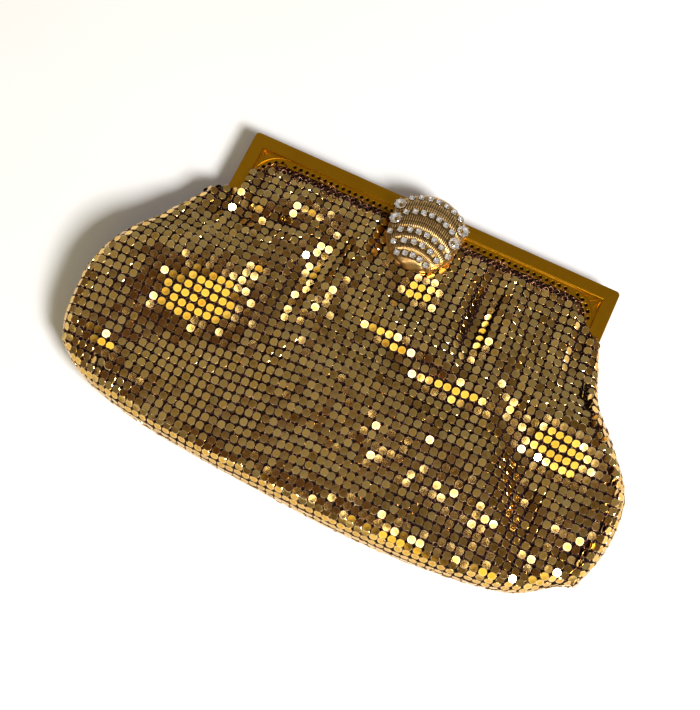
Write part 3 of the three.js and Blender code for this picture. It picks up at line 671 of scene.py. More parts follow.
def nearest_edge(x, y):
    """Signed distance inside the outline, the nearest point on it, its inward direction and its place."""
    along = np.gradient(EDGE, axis=0)
    along /= np.linalg.norm(along, axis=1, keepdims=True)
    inward = np.stack([-along[:, 1], along[:, 0]], 1)
    offset = np.stack([x, y], 1)[:, None] - EDGE[None]
    best = (offset**2).sum(2).argmin(1)
    rows = np.arange(len(best))
    direction = inward[best]
    distance = (offset[rows, best] * direction).sum(1)
    tangent = along[best]
    foot = EDGE[best] + tangent * (offset[rows, best] * tangent).sum(1)[:, None]
    return distance, foot, direction, best


# Roll radius of the front and back at each point of the outline
EDGE_T = np.concatenate([
    np.linspace(0, 1, len(LEFT)), np.ones(len(BOTTOM) - 1), np.linspace(1, 0, len(RIGHT))[1:],
])
ROLL_SHARE = ease(EDGE_T, ROLL_START, ROLL_END)
SIDE_ENDS = len(LEFT), len(LEFT) + len(BOTTOM) - 1


def softened(values, width=25):
    padded = np.concatenate([[values[0]] * width, values, [values[-1]] * width])
    kernel = np.hanning(2 * width + 1)
    return np.convolve(padded, kernel / kernel.sum(), "valid")


FRONT_ROLL = MOUTH_ROLL + (SIDE_ROLL - MOUTH_ROLL) * ROLL_SHARE
FRONT_ROLL[slice(*SIDE_ENDS)] = BOTTOM_ROLL
FRONT_ROLL = softened(FRONT_ROLL)
BACK_ROLLS = softened(MOUTH_ROLL + (BACK_ROLL - MOUTH_ROLL) * ROLL_SHARE)
EDGE_LEVEL = FRAME_MIDDLE + (EDGE_HEIGHT - FRAME_MIDDLE) * ROLL_SHARE


def over_left_leg(x, y):
    """Where the left leg of the frame stays bare."""
    beside = x < -FRAME_HALF + BAND_WIDTH + LEG_MARGIN
    return beside & (y > LEG_BARE - LEG_LENGTH + LEG_SLOPE * np.minimum(x + FRAME_HALF, 0))


def quarter_roll(x, y, best, front):
    """Radius, level and length of the cloth's quarter turn at these points of the outline."""
    radius = (FRONT_ROLL if front else BACK_ROLLS)[best]
    level = EDGE_LEVEL[best]
    rise = np.maximum(front_height(x, y) - level, LEAST_RISE) if front else level
    return radius, level, math.pi / 2 * np.sqrt((radius**2 + rise**2) / 2)


def cloth_point(a, b, front, relief=1.0):
    """Where a point of the flat cloth lies: the cloth keeps its lattice inside and rolls over the edges.
    Also says which points lie on the sheet, and how far and where along the outline they lie."""
    distance, foot, inward, best = nearest_edge(a, b)
    radius, level, quarter = quarter_roll(a, b, best, front)
    run = distance + quarter - radius
    angle = np.clip(run / quarter, 0, 1) * math.pi / 2
    rolled = (foot + inward * (radius * (1 - np.cos(angle)))[:, None]).T
    x, y = np.where(run < quarter, rolled, (a, b))
    top = front_height(x, y, relief) if front else BACK_LEVEL
    z = level + (top - level) * np.sin(angle)
    mouth = np.interp(x, MOUTH[:, 0], MOUTH[:, 1])
    on_sheet = (run > -EDGE_SLACK) & (y < mouth + MOUTH_SLACK) & ~over_left_leg(x, y)
    on_sheet &= nearest_edge(x, y)[0] > -OUTLINE_SLACK
    return np.stack([x, y, z], 1), on_sheet, distance, best


def cloth_frames(a, b, front):
    """Points of the cloth that lie on the sheet, their directions (across, up the bag and outward),
    and how far and where along the outline they lie."""
    point, on_sheet, distance, best = cloth_point(a, b, front)
    across, upward = (
        cloth_point(a + da, b + db, front, STEEPENED)[0] - cloth_point(a - da, b - db, front, STEEPENED)[0]
        for da, db in ((CLOTH_STEP, 0), (0, CLOTH_STEP))
    )
    outward = np.cross(across, upward) * (1 if front else -1)
    axes = faced(across, outward / np.maximum(np.linalg.norm(outward, axis=1, keepdims=True), 1e-9))
    return point[on_sheet], axes[on_sheet], distance[on_sheet], best[on_sheet]


def faced(across, outward):
    """Directions that face outward, with the first one as near to across as it can be."""
    across = across - outward * (across * outward).sum(1)[:, None]
    across = across / np.maximum(np.linalg.norm(across, axis=1, keepdims=True), 1e-9)
    return np.stack([across, np.cross(outward, across), outward], 2)


# Discs, rings and the ground under them, near black as painted shade

def disc_form(sides):
    """One flat disc with a rounded rim, its face up. Also gives how near the rim each point is, which sets
    the painted highlight on the rim.
    """
    angles = (np.arange(sides) + 0.5) / sides * 2 * math.pi
    squared = 1 + 0.025 * np.cos(4 * angles - math.pi)
    points, rim, faces = [(0, 0, DISC_MIDDLE)], [0.0], []
    for share, z in DISC_PROFILE:
        radius = share * DISC_RADIUS * squared
        points += [(r * math.cos(t), r * math.sin(t), z) for r, t in zip(radius, angles)]
        rim += [share] * sides
    for k in range(sides):
        j = (k + 1) % sides
        faces.append([0, 1 + k, 1 + j])
        for a in range(1, 1 + (len(DISC_PROFILE) - 1) * sides, sides):
            faces.append([a + k, a + sides + k, a + sides + j, a + j])
    last = 1 + (len(DISC_PROFILE) - 1) * sides
    faces.append([last + k for k in range(sides)][::-1])
    return np.array(points), faces, np.array(rim)


def ring_form(radius, around=6, sides=4):
    angles = np.arange(around) / around * 2 * math.pi
    path = np.stack([radius * np.cos(angles), radius * np.sin(angles), 0 * angles], 1)
    return tube(path, RING_WIRE, sides, closed=True)


def tilted(axes, tilt_across, tilt_up):
    """Each frame turned by small angles about its own across and upward directions."""
    ca, sa = np.cos(tilt_across), np.sin(tilt_across)
    cu, su = np.cos(tilt_up), np.sin(tilt_up)
    zero, one = np.zeros_like(ca), np.ones_like(ca)
    about_x = np.stack([one, zero, zero, zero, ca, -sa, zero, sa, ca], 1).reshape(-1, 3, 3)
    about_y = np.stack([cu, zero, su, zero, one, zero, -su, zero, cu], 1).reshape(-1, 3, 3)
    return axes @ about_x @ about_y


def lattice(shift_a, shift_b):
    """Points of a square net with rows along the frame, gently drawn out of line by the folds."""
    columns = np.arange(-BAG_HALF - NET_MARGIN, BAG_HALF + NET_MARGIN, COLUMN_PITCH) + shift_a
    rows = np.arange(MOUTH_Y - FIRST_ROW, -BAG_HEIGHT - NET_MARGIN, -ROW_PITCH) + shift_b
    a, b = np.meshgrid(columns, rows)
    a, b = a.ravel(), b.ravel()
    below = ease(-b, -MOUTH_Y, -MOUTH_Y + 30)
    warp_a = 1.1 * np.sin(a / 19 + b / 31) + 0.8 * np.sin(b / 14 - a / 40 + 1)
    warp_b = 1.2 * np.sin(a / 23 + 0.7) + 0.8 * np.sin(a / 11 + b / 26)
    return a * (1 + 0.012 * below) + warp_a * below, b + warp_b * below


def point_values(piece, name, values):
    attribute = piece.data.attributes.new(name, "FLOAT", "POINT")
    attribute.data.foreach_set("value", np.asarray(values, np.float32))


def lean_patches(point):
    """How near the points lie to each patch of LEANS, how firmly it holds them, and its lean."""
    for *place, lean in LEANS:
        along, aside = around(point[:, 0], point[:, 1], *place)
        near = np.exp(-along**2 - aside**2)
        yield near, 1 - np.exp(-(near * PATCH_FIRMNESS) ** 2), lean


def leaned(axes, point, distance):
    """Directions turned so that the discs of LEANS lean as listed and the others lie calmer."""
    azimuth = math.radians(CAMERA_AZIMUTH)
    way = np.array([math.sin(azimuth), -math.cos(azimuth), 0.0])
    hinge = np.array([-way[1], way[0], 0.0])
    outward = axes[:, :, 2]
    lean = np.arctan2(outward @ way, outward[:, 2])
    wanted, firm = np.zeros(len(point)), np.zeros(len(point))
    for near, hold, patch_lean in lean_patches(point):
        wanted = np.maximum(wanted, np.radians(np.interp(patch_lean * near, *LEAN_STEPS)))
        firm = np.maximum(firm, hold)
    inside = ease(distance, *LEAN_INSET)
    lean = lean + inside * (firm * (wanted - lean) - (1 - firm) * (1 - CALM_SHARE) * lean)
    aside = (outward @ hinge) * (1 - firm * inside)
    outward = np.outer(np.sin(lean), way) + np.outer(np.cos(lean), (0, 0, 1))
    return faced(axes[:, :, 0], outward * np.sqrt(1 - aside**2)[:, None] + np.outer(aside, hinge))


def ruffled(point):
    """How widely each disc's tilt spreads and how far it leans towards the bottom fold, in degrees."""
    spread, lean = np.full(len(point), CALM_SPREAD), np.zeros(len(point))
    for *place, patch_spread, patch_lean in RUFFLES:
        along, aside = around(point[:, 0], point[:, 1], *place)
        share = np.exp(-along**4 - aside**4)
        spread = np.maximum(spread, patch_spread * share)
        lean = np.maximum(lean, patch_lean * share)
    for _, hold, _ in lean_patches(point):
        spread = spread * (1 - hold) + PATCH_SPREAD * hold
        lean = lean * (1 - hold)
    return spread, lean


def edge_places(front, run):
    """Flat places of the points that lie this far round the rolled edge from its middle line."""
    inward, best = nearest_edge(*EDGE.T)[2:]
    radius, _, quarter = quarter_roll(*EDGE.T, best, front)
    return (EDGE + inward * (run - quarter + radius)[:, None]).T


def foot_places():
    """Places and directions on the mesh's end that stands up at the foot of the bare left leg."""
    away = np.linspace(*FOOT_REACH, FOOT_GRID)
    away, z = np.meshgrid(away, np.linspace(FOOT_SETBACK, BAG_THICK, FOOT_GRID))
    away, z = away.ravel(), z.ravel()
    x = -FRAME_HALF - away + FOOT_CLEAR * FOOT_WAY[0]
    y = LEG_BARE - LEG_LENGTH - LEG_SLOPE * away + FOOT_CLEAR * FOOT_WAY[1]
    held = (nearest_edge(x, y)[0] > 0.5) & (z < front_height(x, y) - FOOT_SETBACK)
    outward = np.tile((*FOOT_WAY, 0.0), (held.sum(), 1))
    return np.stack([x, y, z], 1)[held], faced(outward[:, [1, 0, 2]] * [-1, 1, 1], outward)


def edge_discs():
    """Places and directions of the discs that close the rows where the two faces meet on the fold."""
    taken = np.concatenate([cloth_frames(*lattice(0, 0), front)[0] for front in (True, False)])
    places = [foot_places()]
    for front in (True, False):
        places += [cloth_frames(*edge_places(front, run), front)[:2] for run in EDGE_RUNS]
    room = np.concatenate([np.linalg.norm(point[:, None] - taken, axis=2).min(1) for point, _ in places])
    free, axes = (np.concatenate(values) for values in zip(*places))
    chosen = []
    while room.max() > EDGE_ROOM:
        chosen.append(room.argmax())
        room = np.minimum(room, np.linalg.norm(free - free[chosen[-1]], axis=1))
    return free[chosen], axes[chosen]


def place_discs(name, front, material, seed):
    random = np.random.default_rng(seed)
    a, b = (value + random.normal(0, DISC_JITTER, len(value)) for value in lattice(0, 0))
    point, axes, distance, best = cloth_frames(a, b, front)
    spread, lean = np.full(len(point), CALM_SPREAD), np.zeros(len(point))
    if front:
        closing, closing_axes = edge_discs()
        point, axes = np.concatenate([point, closing]), np.concatenate([axes, closing_axes])
        distance, best = (np.append(value, np.zeros(len(closing), int)) for value in (distance, best))
        axes = leaned(axes, point, distance)
        spread, lean = ruffled(point)
    count = len(point)
    tilt_across = random.normal(0, 1, count) * np.radians(spread) + np.radians(lean)
    tilt_up = random.normal(0, 1, count) * np.radians(spread)
    if front:
        t = shares(point[:, 0], point[:, 1])[1]
        near, far = SEAM_INSET
        seam = (best > SIDE_ENDS[1] + 1) & (distance > near) & (distance < far) & (t > SEAM_START)
        tilt_up = np.where(seam, random.choice([-1, 1], count) * random.uniform(*SEAM_TILT, count), tilt_up)
    axes = tilted(axes, tilt_across, tilt_up)
    point = point + axes[:, :, 2] * (random.normal(0, SEAT_SPREAD, count) - DISC_SINK)[:, None]
    base_points, base_faces, rim = disc_form(DISC_SIDES if front else DISC_SIDES - 4)
    piece = mesh_object(name, *copies(base_points, base_faces, point, axes), [material])
    # Painted shade: discs that face sideways get a darker tone
    painted_side_shade = 1 - ease(axes[:, 2, 2], *SIDE_ON)
    tone_and_painted_shade = np.clip(random.normal(TONE_MEAN, TONE_SPREAD, count), 0, TONE_TOP) * (1 - SIDE_ON_PAINTED_SHADE * painted_side_shade)
    point_values(piece, "tone_and_painted_shade", np.repeat(tone_and_painted_shade, len(base_points)))
    # How near the rim each point lies, for the painted highlight on the rim
    point_values(piece, "rim", np.tile(rim, count))
    return piece


def place_rings(name, front, material, seed):
    random = np.random.default_rng(seed)
    point, axes = cloth_frames(*lattice(COLUMN_PITCH / 2, -ROW_PITCH / 2), front)[:2]
    axes = tilted(axes, *(random.normal(0, RING_TILT, len(point)) for _ in range(2)))
    point = point - axes[:, :, 2] * RING_SINK
    return mesh_object(name, *copies(*ring_form(RING_RADIUS), point, axes), [material], smooth=True)


def along_line(line, share):
    """Points at these shares of a line's own points, in rows and columns as the shares."""
    index = np.linspace(0, 1, len(line))
    return np.concatenate([np.interp(share, index, line[:, k]) for k in (0, 1)], -1)


def ground_sheet(name, material):
    """The inside of the bag, a closed skin under the discs, coloured near black as painted shade where it
    shows between them.
    """
    t = np.linspace(0, 1, GROUND_ROWS)[:, None, None]
    s = np.linspace(0, 1, GROUND_COLUMNS)[None, :, None]
    flat = (1 - t) * along_line(MOUTH, s) + t * along_line(BOTTOM, s)
    flat = flat + (1 - s) * along_line(LEFT, t) + s * along_line(RIGHT, t)
    flat = flat - (1 - t) * ((1 - s) * MOUTH[0] + s * MOUTH[-1]) - t * ((1 - s) * BOTTOM[0] + s * BOTTOM[-1])
    x, y = flat.reshape(-1, 2).T
    distance, _, inward, best = nearest_edge(x, y)
    level = EDGE_LEVEL[best]
    top = front_height(x, y) - GROUND_SINK
    x, y = (flat.reshape(-1, 2) + inward * np.clip(GROUND_INSET - distance, 0, None)[:, None]).T
    bare = over_left_leg(x, y)
    x = np.where(bare, np.maximum(x, RIM_THICK - FRAME_HALF), x)
    faces = grid_faces(GROUND_ROWS, GROUND_COLUMNS)
    sheets = []
    for rolls, crest, order in ((FRONT_ROLL, top, 1), (BACK_ROLLS, GROUND_SINK, -1)):
        lift = np.sqrt(1 - (1 - np.clip(distance / rolls[best], 0, 1)) ** 2)
        z = level + (crest - level) * lift
        z = np.where(bare, np.minimum(z, FRAME_MIDDLE), z)
        sheets.append((np.stack([x, y, z], 1), [face[::order] for face in faces]))
    return mesh_object(name, *merged(sheets), [material], smooth=True)


# Frame

def square_u(inset):
    x = FRAME_HALF - inset
    return [(-x, -LEG_LENGTH), (-x, -inset), (x, -inset), (x, -LEG_LENGTH)]


def on_arc(x, y, radius, angle):
    return x + radius * math.cos(angle), y + radius * math.sin(angle)


def round_u(x, y, radius, steps):
    """A line up one leg, round its corner, across and down the other leg; x, y is the corner's middle."""
    line = [(-x - radius, -LEG_LENGTH)]
    for side, start in ((-1, math.pi), (1, math.pi / 2)):
        line += [on_arc(side * x, y, radius, start - i / steps * math.pi / 2) for i in range(steps + 1)]
    return line + [(x + radius, -LEG_LENGTH)]


def arched_u(inset):
    return round_u(ARCH_X, ARCH_Y, ARCH_RADIUS - inset, 12)


def outer_u(inset=0.0):
    radius = CORNER_ROUND - inset
    return round_u(FRAME_HALF - CORNER_ROUND, -CORNER_ROUND, radius, 6)


def hole_middles():
    radius = ARCH_RADIUS - HOLE_SETBACK
    count = 2 * int(ARCH_X / HOLE_PITCH) + 1
    middles = [((i - (count - 1) / 2) * HOLE_PITCH, -BAND_WIDTH - HOLE_SETBACK) for i in range(count)]
    for side in (-1, 1):
        for i in range(1, CORNER_HOLES + 1):
            x, y = on_arc(0, ARCH_Y, radius, math.pi / 2 - i * HOLE_PITCH / radius)
            middles.append((side * (ARCH_X + x), y))
    return middles


def circle(x, y, radius, sides=16):
    return [on_arc(x, y, radius, -2 * math.pi * k / sides) for k in range(sides)]


def lifted(line, z):
    return [(x, y, z) for x, y in line]


def frame_half_parts():
    """One half with its face up at z = 0 and the rest below it."""
    band = outer_u() + square_u(BAND_WIDTH)[::-1]
    flange = square_u(BAND_WIDTH - FLANGE_LAP) + arched_u(FLANGE_WIDTH)[::-1]
    rim = outer_u(RIM_ROUND) + outer_u(RIM_THICK)[::-1]
    holes = [circle(x, y, HOLE_RADIUS) for x, y in hole_middles()]
    half_depth = (FRAME_DEPTH - SEAM_GAP) / 2
    parts = [
        plate([band], -PLATE_THICK, 0, BAND_ROUND),
        plate([flange] + holes, -FLANGE_RECESS - FLANGE_THICK, -FLANGE_RECESS, FLANGE_ROUND),
        plate([rim], -half_depth, -PLATE_THICK + BAND_ROUND, RIM_ROUND),
        tube(lifted(square_u(BAND_WIDTH), -BEAD_SINK), BEAD_WIDTH / 2),
        tube(lifted(arched_u(BEAD_WIDTH / 2), -FLANGE_RECESS), BEAD_WIDTH / 2),
    ]
    for side in (-1, 1):
        corner = (side * (FRAME_HALF - BAND_WIDTH), -BAND_WIDTH)
        for degrees in FAN_DEGREES:
            x, y = on_arc(ARCH_X, ARCH_Y, ARCH_RADIUS, math.radians(degrees))
            near = [(1 - FAN_START) * c + FAN_START * e for c, e in zip(corner, (side * x, y))]
            parts.append(tube(lifted([near, (side * x, y)], -FLANGE_RECESS), FAN_RADII, 6))
    return parts


def frame_half(front):
    points, faces = merged(frame_half_parts())
    if front:
        return points + [0, 0, FRAME_FACE], faces
    return points * [1, 1, -1] + [0, 0, FRAME_BACK], [face[::-1] for face in faces]


def knuckle_parts():
    """The two barrels behind the top edge that carry the clasp's pin."""
    axis_y, axis_z = clasp_axis()
    inner = LEVER_WIDTH / 2 + RUNNING_GAP
    parts = []
    for side in (-1, 1):
        ends = sorted((side * inner, side * (inner + KNUCKLE_LENGTH)))
        parts.append(tube([(ends[0], axis_y, axis_z), (ends[1], axis_y, axis_z)], KNUCKLE_RADIUS, 20))
        foot = [(ends[0], -RIM_THICK / 2), (ends[1], -RIM_THICK / 2), (ends[1], axis_y), (ends[0], axis_y)]
        parts.append(plate([foot], axis_z - KNUCKLE_RADIUS, axis_z, 0.1))
    return parts


def clasp_axis():
    return KNUCKLE_RADIUS + RUNNING_GAP, FRAME_BACK + PLATE_THICK + KNUCKLE_RADIUS


def tie_rings(name, material, seed):
    """Wire rings that tie the mesh's top row to the holes of the front flange."""
    random = np.random.default_rng(seed)
    places, normals, firsts = [], [], []
    for x, y in hole_middles():
        out = np.array([np.clip(x, -ARCH_X, ARCH_X) - x, (ARCH_Y if abs(x) > ARCH_X else y - 1) - y, 0])
        out /= np.linalg.norm(out)
        side = np.array([-out[1], out[0], 0.0])
        for reach, shift in TIE_ROWS:
            normal = np.array([0, 0, 1]) + side * random.normal(0, 0.3) + out * random.normal(0.1, 0.3)
            normals.append(normal / np.linalg.norm(normal))
            firsts.append(np.cross(normals[-1], out))
            rise = TIE_RISE * (reach - TIE_ROWS[0][0])
            spot = out * reach + side * (shift * HOLE_PITCH + random.normal(0, 0.12))
            places.append(np.array([x, y, FRAME_FACE - FLANGE_RECESS - 0.1 + rise]) + spot)
    axes = faced(np.array(firsts), np.array(normals))
    return mesh_object(name, *copies(*ring_form(TIE_RADIUS, 12, 6), places, axes), [material], smooth=True)


# Clasp

BANDS = [  # (name, middle, ends, half width)
    ("top_edge", 0, 0.207, 0.905), ("stones_1", 0.112, 0.28, 0.993), ("ribs_1", 0.198, 0.371, 1),
    ("arc_1", 0.267, 0.432, 0.986), ("stones_2", 0.347, 0.502, 0.96), ("ribs_2", 0.441, 0.559, 0.932),
    ("arc_2", 0.517, 0.644, 0.905), ("stones_3", 0.605, 0.714, 0.872), ("arc_3", 0.681, 0.775, 0.797),
    ("stones_4", 0.736, 0.836, 0.716), ("arc_4", 0.815, 0.881, 0.608), ("stones_5", 0.878, 0.924, 0.507),
    ("ribs_3", 0.945, 0.96, 0.33), ("tip", 1, 0.991, 0.12),
]
STONE_ROWS = [  # (band, count, share of the band's half width, size)
    ("stones_1", 7, 0.68, SMALL_STONE), ("ribs_1", 2, 0.86, LARGE_STONE),
    ("stones_2", 7, 0.66, SMALL_STONE), ("ribs_2", 2, 0.855, LARGE_STONE),
    ("stones_3", 8, 0.91, SMALL_STONE), ("stones_4", 6, 0.83, SMALL_STONE),
    ("stones_5", 5, 0.78, SMALL_STONE),
]
BAND_NAMES = [row[0] for row in BANDS]
BAND_TABLE = np.array([row[1:] for row in BANDS], float)


def clasp_dome(place, across):
    """Points of the dome: place counts bands from 0, and across runs from -1 to 1."""
    place = np.asarray(place, float)
    across = np.asarray(across, float)
    index = np.arange(len(BANDS))
    middle, ends, half = (np.interp(place, index, column) for column in BAND_TABLE.T)
    drop = middle + (ends - middle) * across**2
    x = across * half * CLASP_WIDTH / 2
    y = CLASP_OVERHANG - drop * CLASP_LENGTH
    crown = np.clip(1 - across**2, 0, 1) ** 0.5 * np.clip(1 - (2 * middle - 1) ** 2, 0, 1) ** 0.6
    z = CLASP_EDGE + (CLASP_HEIGHT - CLASP_EDGE) * crown
    return np.stack([x, y, z], -1), crown


def clasp_relief(place, across):
    """Raised arcs, ribbed bands and sunk stone channels on the dome."""
    nearest = np.clip(np.round(place).astype(int), 0, len(BANDS) - 1)
    within = np.abs(place - nearest) * 2
    kinds = np.array([name.split("_")[0] for name in BAND_NAMES])[nearest]
    wave = RIB_RISE * np.cos(across * 2 * math.pi * RIB_COUNT)
    arc = (kinds == "arc") * (ARC_RISE + wave) * (1 - within**2)
    ribs = (kinds == "ribs") * (0.25 + wave) * (1 - within**4)
    channel = (kinds == "stones") * -0.25 * (1 - within**4)
    return arc + ribs + channel


def clasp_tilt(points):
    angle = math.radians(-CLASP_TILT)
    x, y, z = np.moveaxis(np.asarray(points, float), -1, 0)
    return np.stack([
        x,
        y * math.cos(angle) - z * math.sin(angle),
        y * math.sin(angle) + z * math.cos(angle) + FRAME_FACE + CLASP_LIFT,
    ], -1)


def clasp_plate_parts():
    place = np.linspace(0, len(BANDS) - 1, (len(BANDS) - 1) * ROWS_PER_BAND + 1)
    place, across = np.meshgrid(place, np.linspace(-1, 1, PLATE_COLUMNS + 1), indexing="ij")
    points, crown = clasp_dome(place, across)
    points[..., 2] += clasp_relief(place, across) * np.clip(crown * 1.6, 0, 1)
    points = points.reshape(-1, 3)
    numbers = np.arange(place.size).reshape(place.shape)
    rim = np.concatenate([numbers[0], numbers[1:, -1], numbers[-1, -2::-1], numbers[-2:0:-1, 0]])
    base = place.size + np.arange(len(rim))
    walls = np.stack([rim, np.roll(rim, -1), np.roll(base, -1), base], 1)
    faces = grid_faces(*place.shape) + walls.tolist() + [base.tolist()]
    return clasp_tilt(np.vstack([points, points[rim] * [1, 1, 0]])), faces


def lever_parts():
    axis_y, axis_z = clasp_axis()
    half = LEVER_WIDTH / 2
    low = FRAME_FACE + CLASP_LIFT
    outer = axis_y + KNUCKLE_RADIUS
    barrel = tube([(-half, axis_y, axis_z), (half, axis_y, axis_z)], KNUCKLE_RADIUS, 20)
    parts = [barrel]
    for start, foot in ((outer - LEVER_THICK, axis_z), (-LEVER_DROP, low)):
        outline = [(-half, start), (half, start), (half, outer), (-half, outer)]
        parts.append(plate([outline], foot, low + LEVER_THICK, 0.15))
    return parts


def stone_places():
    """Middle, outward direction and listed size of each stone."""
    places = []
    for name, count, span, size in STONE_ROWS:
        band = BAND_NAMES.index(name)
        for across in span * np.linspace(-1, 1, count):
            middle = clasp_dome(band, across)[0]
            side = clasp_dome(band, across + 0.04)[0] - clasp_dome(band, across - 0.04)[0]
            down = clasp_dome(band + 0.4, across)[0] - clasp_dome(band - 0.4, across)[0]
            tips = clasp_tilt([middle, middle - np.cross(side, down)])
            normal = tips[1] - tips[0]
            normal *= np.sign(normal[2]) / np.linalg.norm(normal)
            normal[2] += STONE_UPWARD
            normal /= np.linalg.norm(normal)
            places.append((tips[0] + normal * STONE_RAISE[size], normal, size))
    return places


def turned_to(normal):
    return faced(np.array([[1.0, 0, 0]]), normal[None])[0]


def brilliant(sides=8):
    """A round brilliant of radius 1: table, star and kite facets, girdle and a pointed back.
    Returns points, faces and how many of the faces belong to the back."""
    rings = [  # (radius, height, turn in steps)
        (0.56, 0.36, 0.5), (0.8, 0.24, 0), (1, 0.04, 0.5), (1, -0.04, 0.5), (1, 0.04, 0), (1, -0.04, 0),
    ]
    points = []
    for radius, z, turn in rings:
        points += [(*on_arc(0, 0, radius, 2 * math.pi * (k + turn) / sides), z) for k in range(sides)]
    points.append((0, 0, -0.6))
    table, kite, top, low, top_mid, low_mid, culet = (r * sides for r in range(len(rings) + 1))
    crown, back = [list(range(sides))], []
    for k in range(sides):
        j = (k + 1) % sides
        crown += [
            [table + k, kite + j, table + j],
            [table + k, top + k, kite + j],
            [table + j, kite + j, top + j],
            [kite + j, top + k, top_mid + j],
            [kite + j, top_mid + j, top + j],
            [top + k, low + k, low_mid + j, top_mid + j],
            [top_mid + j, low_mid + j, low + j, top + j],
        ]
        back += [[low + k, culet, low_mid + j], [low_mid + j, culet, low + j]]
    return np.array(points), crown + back, len(back)


def prong_form(rows=4, around=7):
    """A small round bead of radius 1."""
    points, faces = [], []
    for polar in np.arange(1, rows) * math.pi / rows:
        ring = [on_arc(0, 0, math.sin(polar), 2 * math.pi * k / around) for k in range(around)]
        points += lifted(ring, math.cos(polar))
    top, low, last = len(points), len(points) + 1, (rows - 2) * around
    for k in range(around):
        j = (k + 1) % around
        faces += [[a + k, a + around + k, a + around + j, a + j] for a in range(0, last, around)]
        faces += [[top, k, j], [low, last + j, last + k]]
    return np.array(points + [(0, 0, 1), (0, 0, -1)]), faces


def make_clasp(gold):
    parts = [clasp_plate_parts()] + lever_parts()
    prong_points, prong_faces = prong_form()
    for middle, normal, size in stone_places():
        axes = turned_to(normal)
        count, prong = PRONGS[size]
        spots, collar = (
            middle + np.array([
                (*on_arc(0, 0, out, 2 * math.pi * (k + turn) / number), up) for k in range(number)
            ]) * (size / 2 * STONE_SPREAD) @ axes.T
            for (out, up), number, turn in ((PRONG_PLACE, count, 0.5), (COLLAR_PLACE, COLLAR_SIDES, 0))
        )
        parts.append(copies(prong_points * prong, prong_faces, spots, np.array([axes] * count)))
        parts.append(tube(collar, COLLAR_WIRE, 6, closed=True))
    return mesh_object("clasp_plate", *merged(parts), [gold], smooth=True)


def make_stones(glass, foil):
    base_points, base_faces, back = brilliant()
    stones = [(middle, normal, size / 2 * STONE_SPREAD) for middle, normal, size in stone_places()]
    places = [middle + normal * STONE_SEAT * radius for middle, normal, radius in stones]
    axes = np.array([turned_to(normal) * radius for _, normal, radius in stones])
    numbers = ([0] * (len(base_faces) - back) + [1] * back) * len(stones)
    points, faces = copies(base_points, base_faces, places, axes)
    return mesh_object("clasp_stones", points, faces, [glass, foil], face_materials=numbers)


# Stage

def make_stage():
    """A wide pale floor under the purse."""
    corners = [(-FLOOR_HALF, -FLOOR_HALF, 0), (FLOOR_HALF, -FLOOR_HALF, 0)]
    corners += [(-x, -y, z) for x, y, z in corners]
    data = bpy.data.meshes.new("floor")
    data.from_pydata(corners, [], [[0, 1, 2, 3]])
    data.materials.append(floor_material())
    floor = bpy.data.objects.new("floor", data)
    bpy.context.scene.collection.objects.link(floor)


def area_light(name, place, size, power):
    data = bpy.data.lights.new(name, "AREA")
    data.size = size
    data.energy = power
    light = bpy.data.objects.new(name, data)
    bpy.context.scene.collection.objects.link(light)
    light.location = place
    light.rotation_euler = (-Vector(place)).to_track_quat("-Z", "Y").to_euler()


FLOOR_HALF = 6.0  # metres
LIGHTS = [  # (name, place in metres, size in metres, power in watts)
    ("key", (0.95, -0.5, 1.15), 0.42, 37),
    ("lamp", (0.132, -0.353, 1.35), 0.22, 0.8),
]
ROOM_COLOUR = (0.25, 0.25, 0.245)
SKY_PATCHES = [  # (direction, colour, angle where it ends, angle where it is full)
    ((0.85, 0.1, 0.5), (0.13, 0.09, 0.06), 40, 22),
    ((-0.8, -0.1, 0.55), (0.13, 0.09, 0.06), 40, 22),
    ((0.35, 0.3, 0.88), (0.11, 0.085, 0.055), 22, 11),
    ((-0.5, 0.2, 0.85), (0.34, 0.32, 0.28), 26, 14),
    ((0.2, -0.6, 0.77), (0.09, 0.045, 0.03), 48, 34),
    ((0.3, -0.72, 0.62), (1.5, 1.25, 0.4), 25, 15),
]


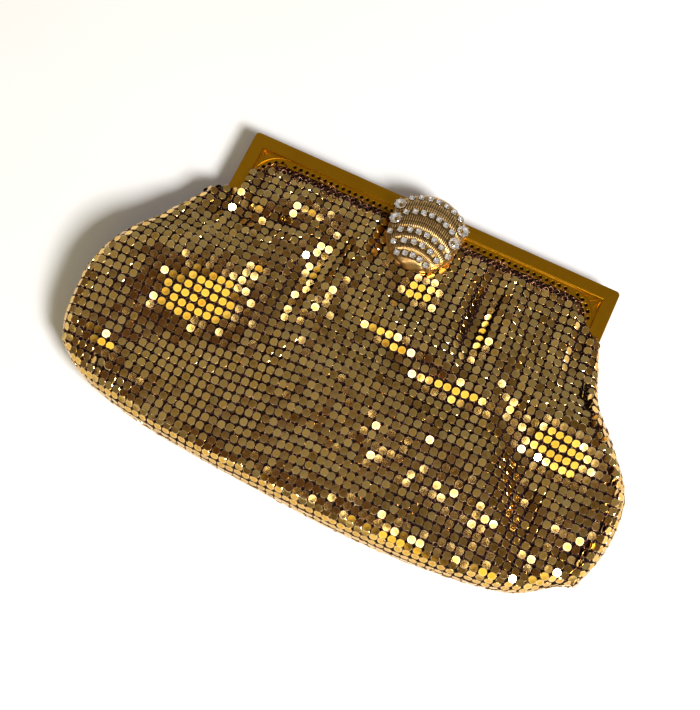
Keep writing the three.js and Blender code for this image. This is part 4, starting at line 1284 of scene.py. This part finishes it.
def make_lights():
    scene = bpy.context.scene
    world = bpy.data.worlds.new("studio")
    scene.world = world
    world.use_nodes = True
    add = adder(world.node_tree)
    place = add("ShaderNodeTexCoord").outputs["Generated"]
    colour = add("ShaderNodeRGB").outputs[0]
    colour.default_value = (*ROOM_COLOUR, 1)
    for towards, patch_colour, far, near in SKY_PATCHES:
        inputs = {0: place, 1: Vector(towards).normalized()}
        toward = add("ShaderNodeVectorMath", inputs, operation="DOT_PRODUCT").outputs["Value"]
        ends = {"From Min": math.cos(math.radians(far)), "From Max": math.cos(math.radians(near))}
        share = add("ShaderNodeMapRange", {"Value": toward, **ends}, interpolation_type="SMOOTHSTEP")
        inputs = {"Fac": share.outputs["Result"], "Color1": colour, "Color2": (*patch_colour, 1)}
        colour = add("ShaderNodeMixRGB", inputs).outputs["Color"]
    background = world.node_tree.nodes["Background"]
    world.node_tree.links.new(colour, background.inputs["Color"])
    background.inputs["Strength"].default_value = 1.0
    for light in LIGHTS:
        area_light(*light)
    scene.view_settings.view_transform = "Standard"


# Assembly

make_camera()
make_stage()
make_lights()

gold_discs = disc_material()
painted_shade_inside = ground_material()
ring_wire = ring_material()
frame_gold = frame_material("frame_gold")
antique_gold = clasp_material()
clear_glass = stone_material()
silver_foil = foil_material()

front_half = frame_half(True)
back_half = merged([frame_half(False)] + knuckle_parts())
stones = [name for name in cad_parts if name.startswith("stone_")]

PIECES = [  # (piece, body, slot, nodes that it replaces)
    (place_discs("mesh_discs_front", True, gold_discs, 11), "purse", "mesh_gold", ["mesh_bag"]),
    (place_discs("mesh_discs_back", False, gold_discs, 12), "purse", "mesh_gold", []),
    (place_rings("mesh_rings_front", True, ring_wire, 13), "purse", "mesh_gold", []),
    (place_rings("mesh_rings_back", False, ring_wire, 14), "purse", "mesh_gold", []),
    (ground_sheet("mesh_ground", painted_shade_inside), "purse", "mesh_gold", []),
    (tie_rings("frame_ties", ring_wire, 15), "purse", "mesh_gold", []),
    (mesh_object("frame_front_plate", *front_half, [frame_gold]), "purse", "frame_gold", ["frame_front"]),
    (mesh_object("frame_back_plate", *back_half, [frame_gold]), "purse", "frame_gold", ["frame_back"]),
    (make_clasp(antique_gold), "clasp", "clasp_gold", ["clasp"]),
    (make_stones(clear_glass, silver_foil), "clasp", "stone_glass", stones),
]
for piece, body, slot, replaced in PIECES:
    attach(piece, body)
    if replaced:
        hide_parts(*replaced)

pin_gold = frame_material("pin_gold")
for name in ("hinge_rivet_left", "hinge_rivet_right", "clasp_pin"):
    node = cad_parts[name]
    node.data.materials.clear()
    node.data.materials.append(pin_gold)
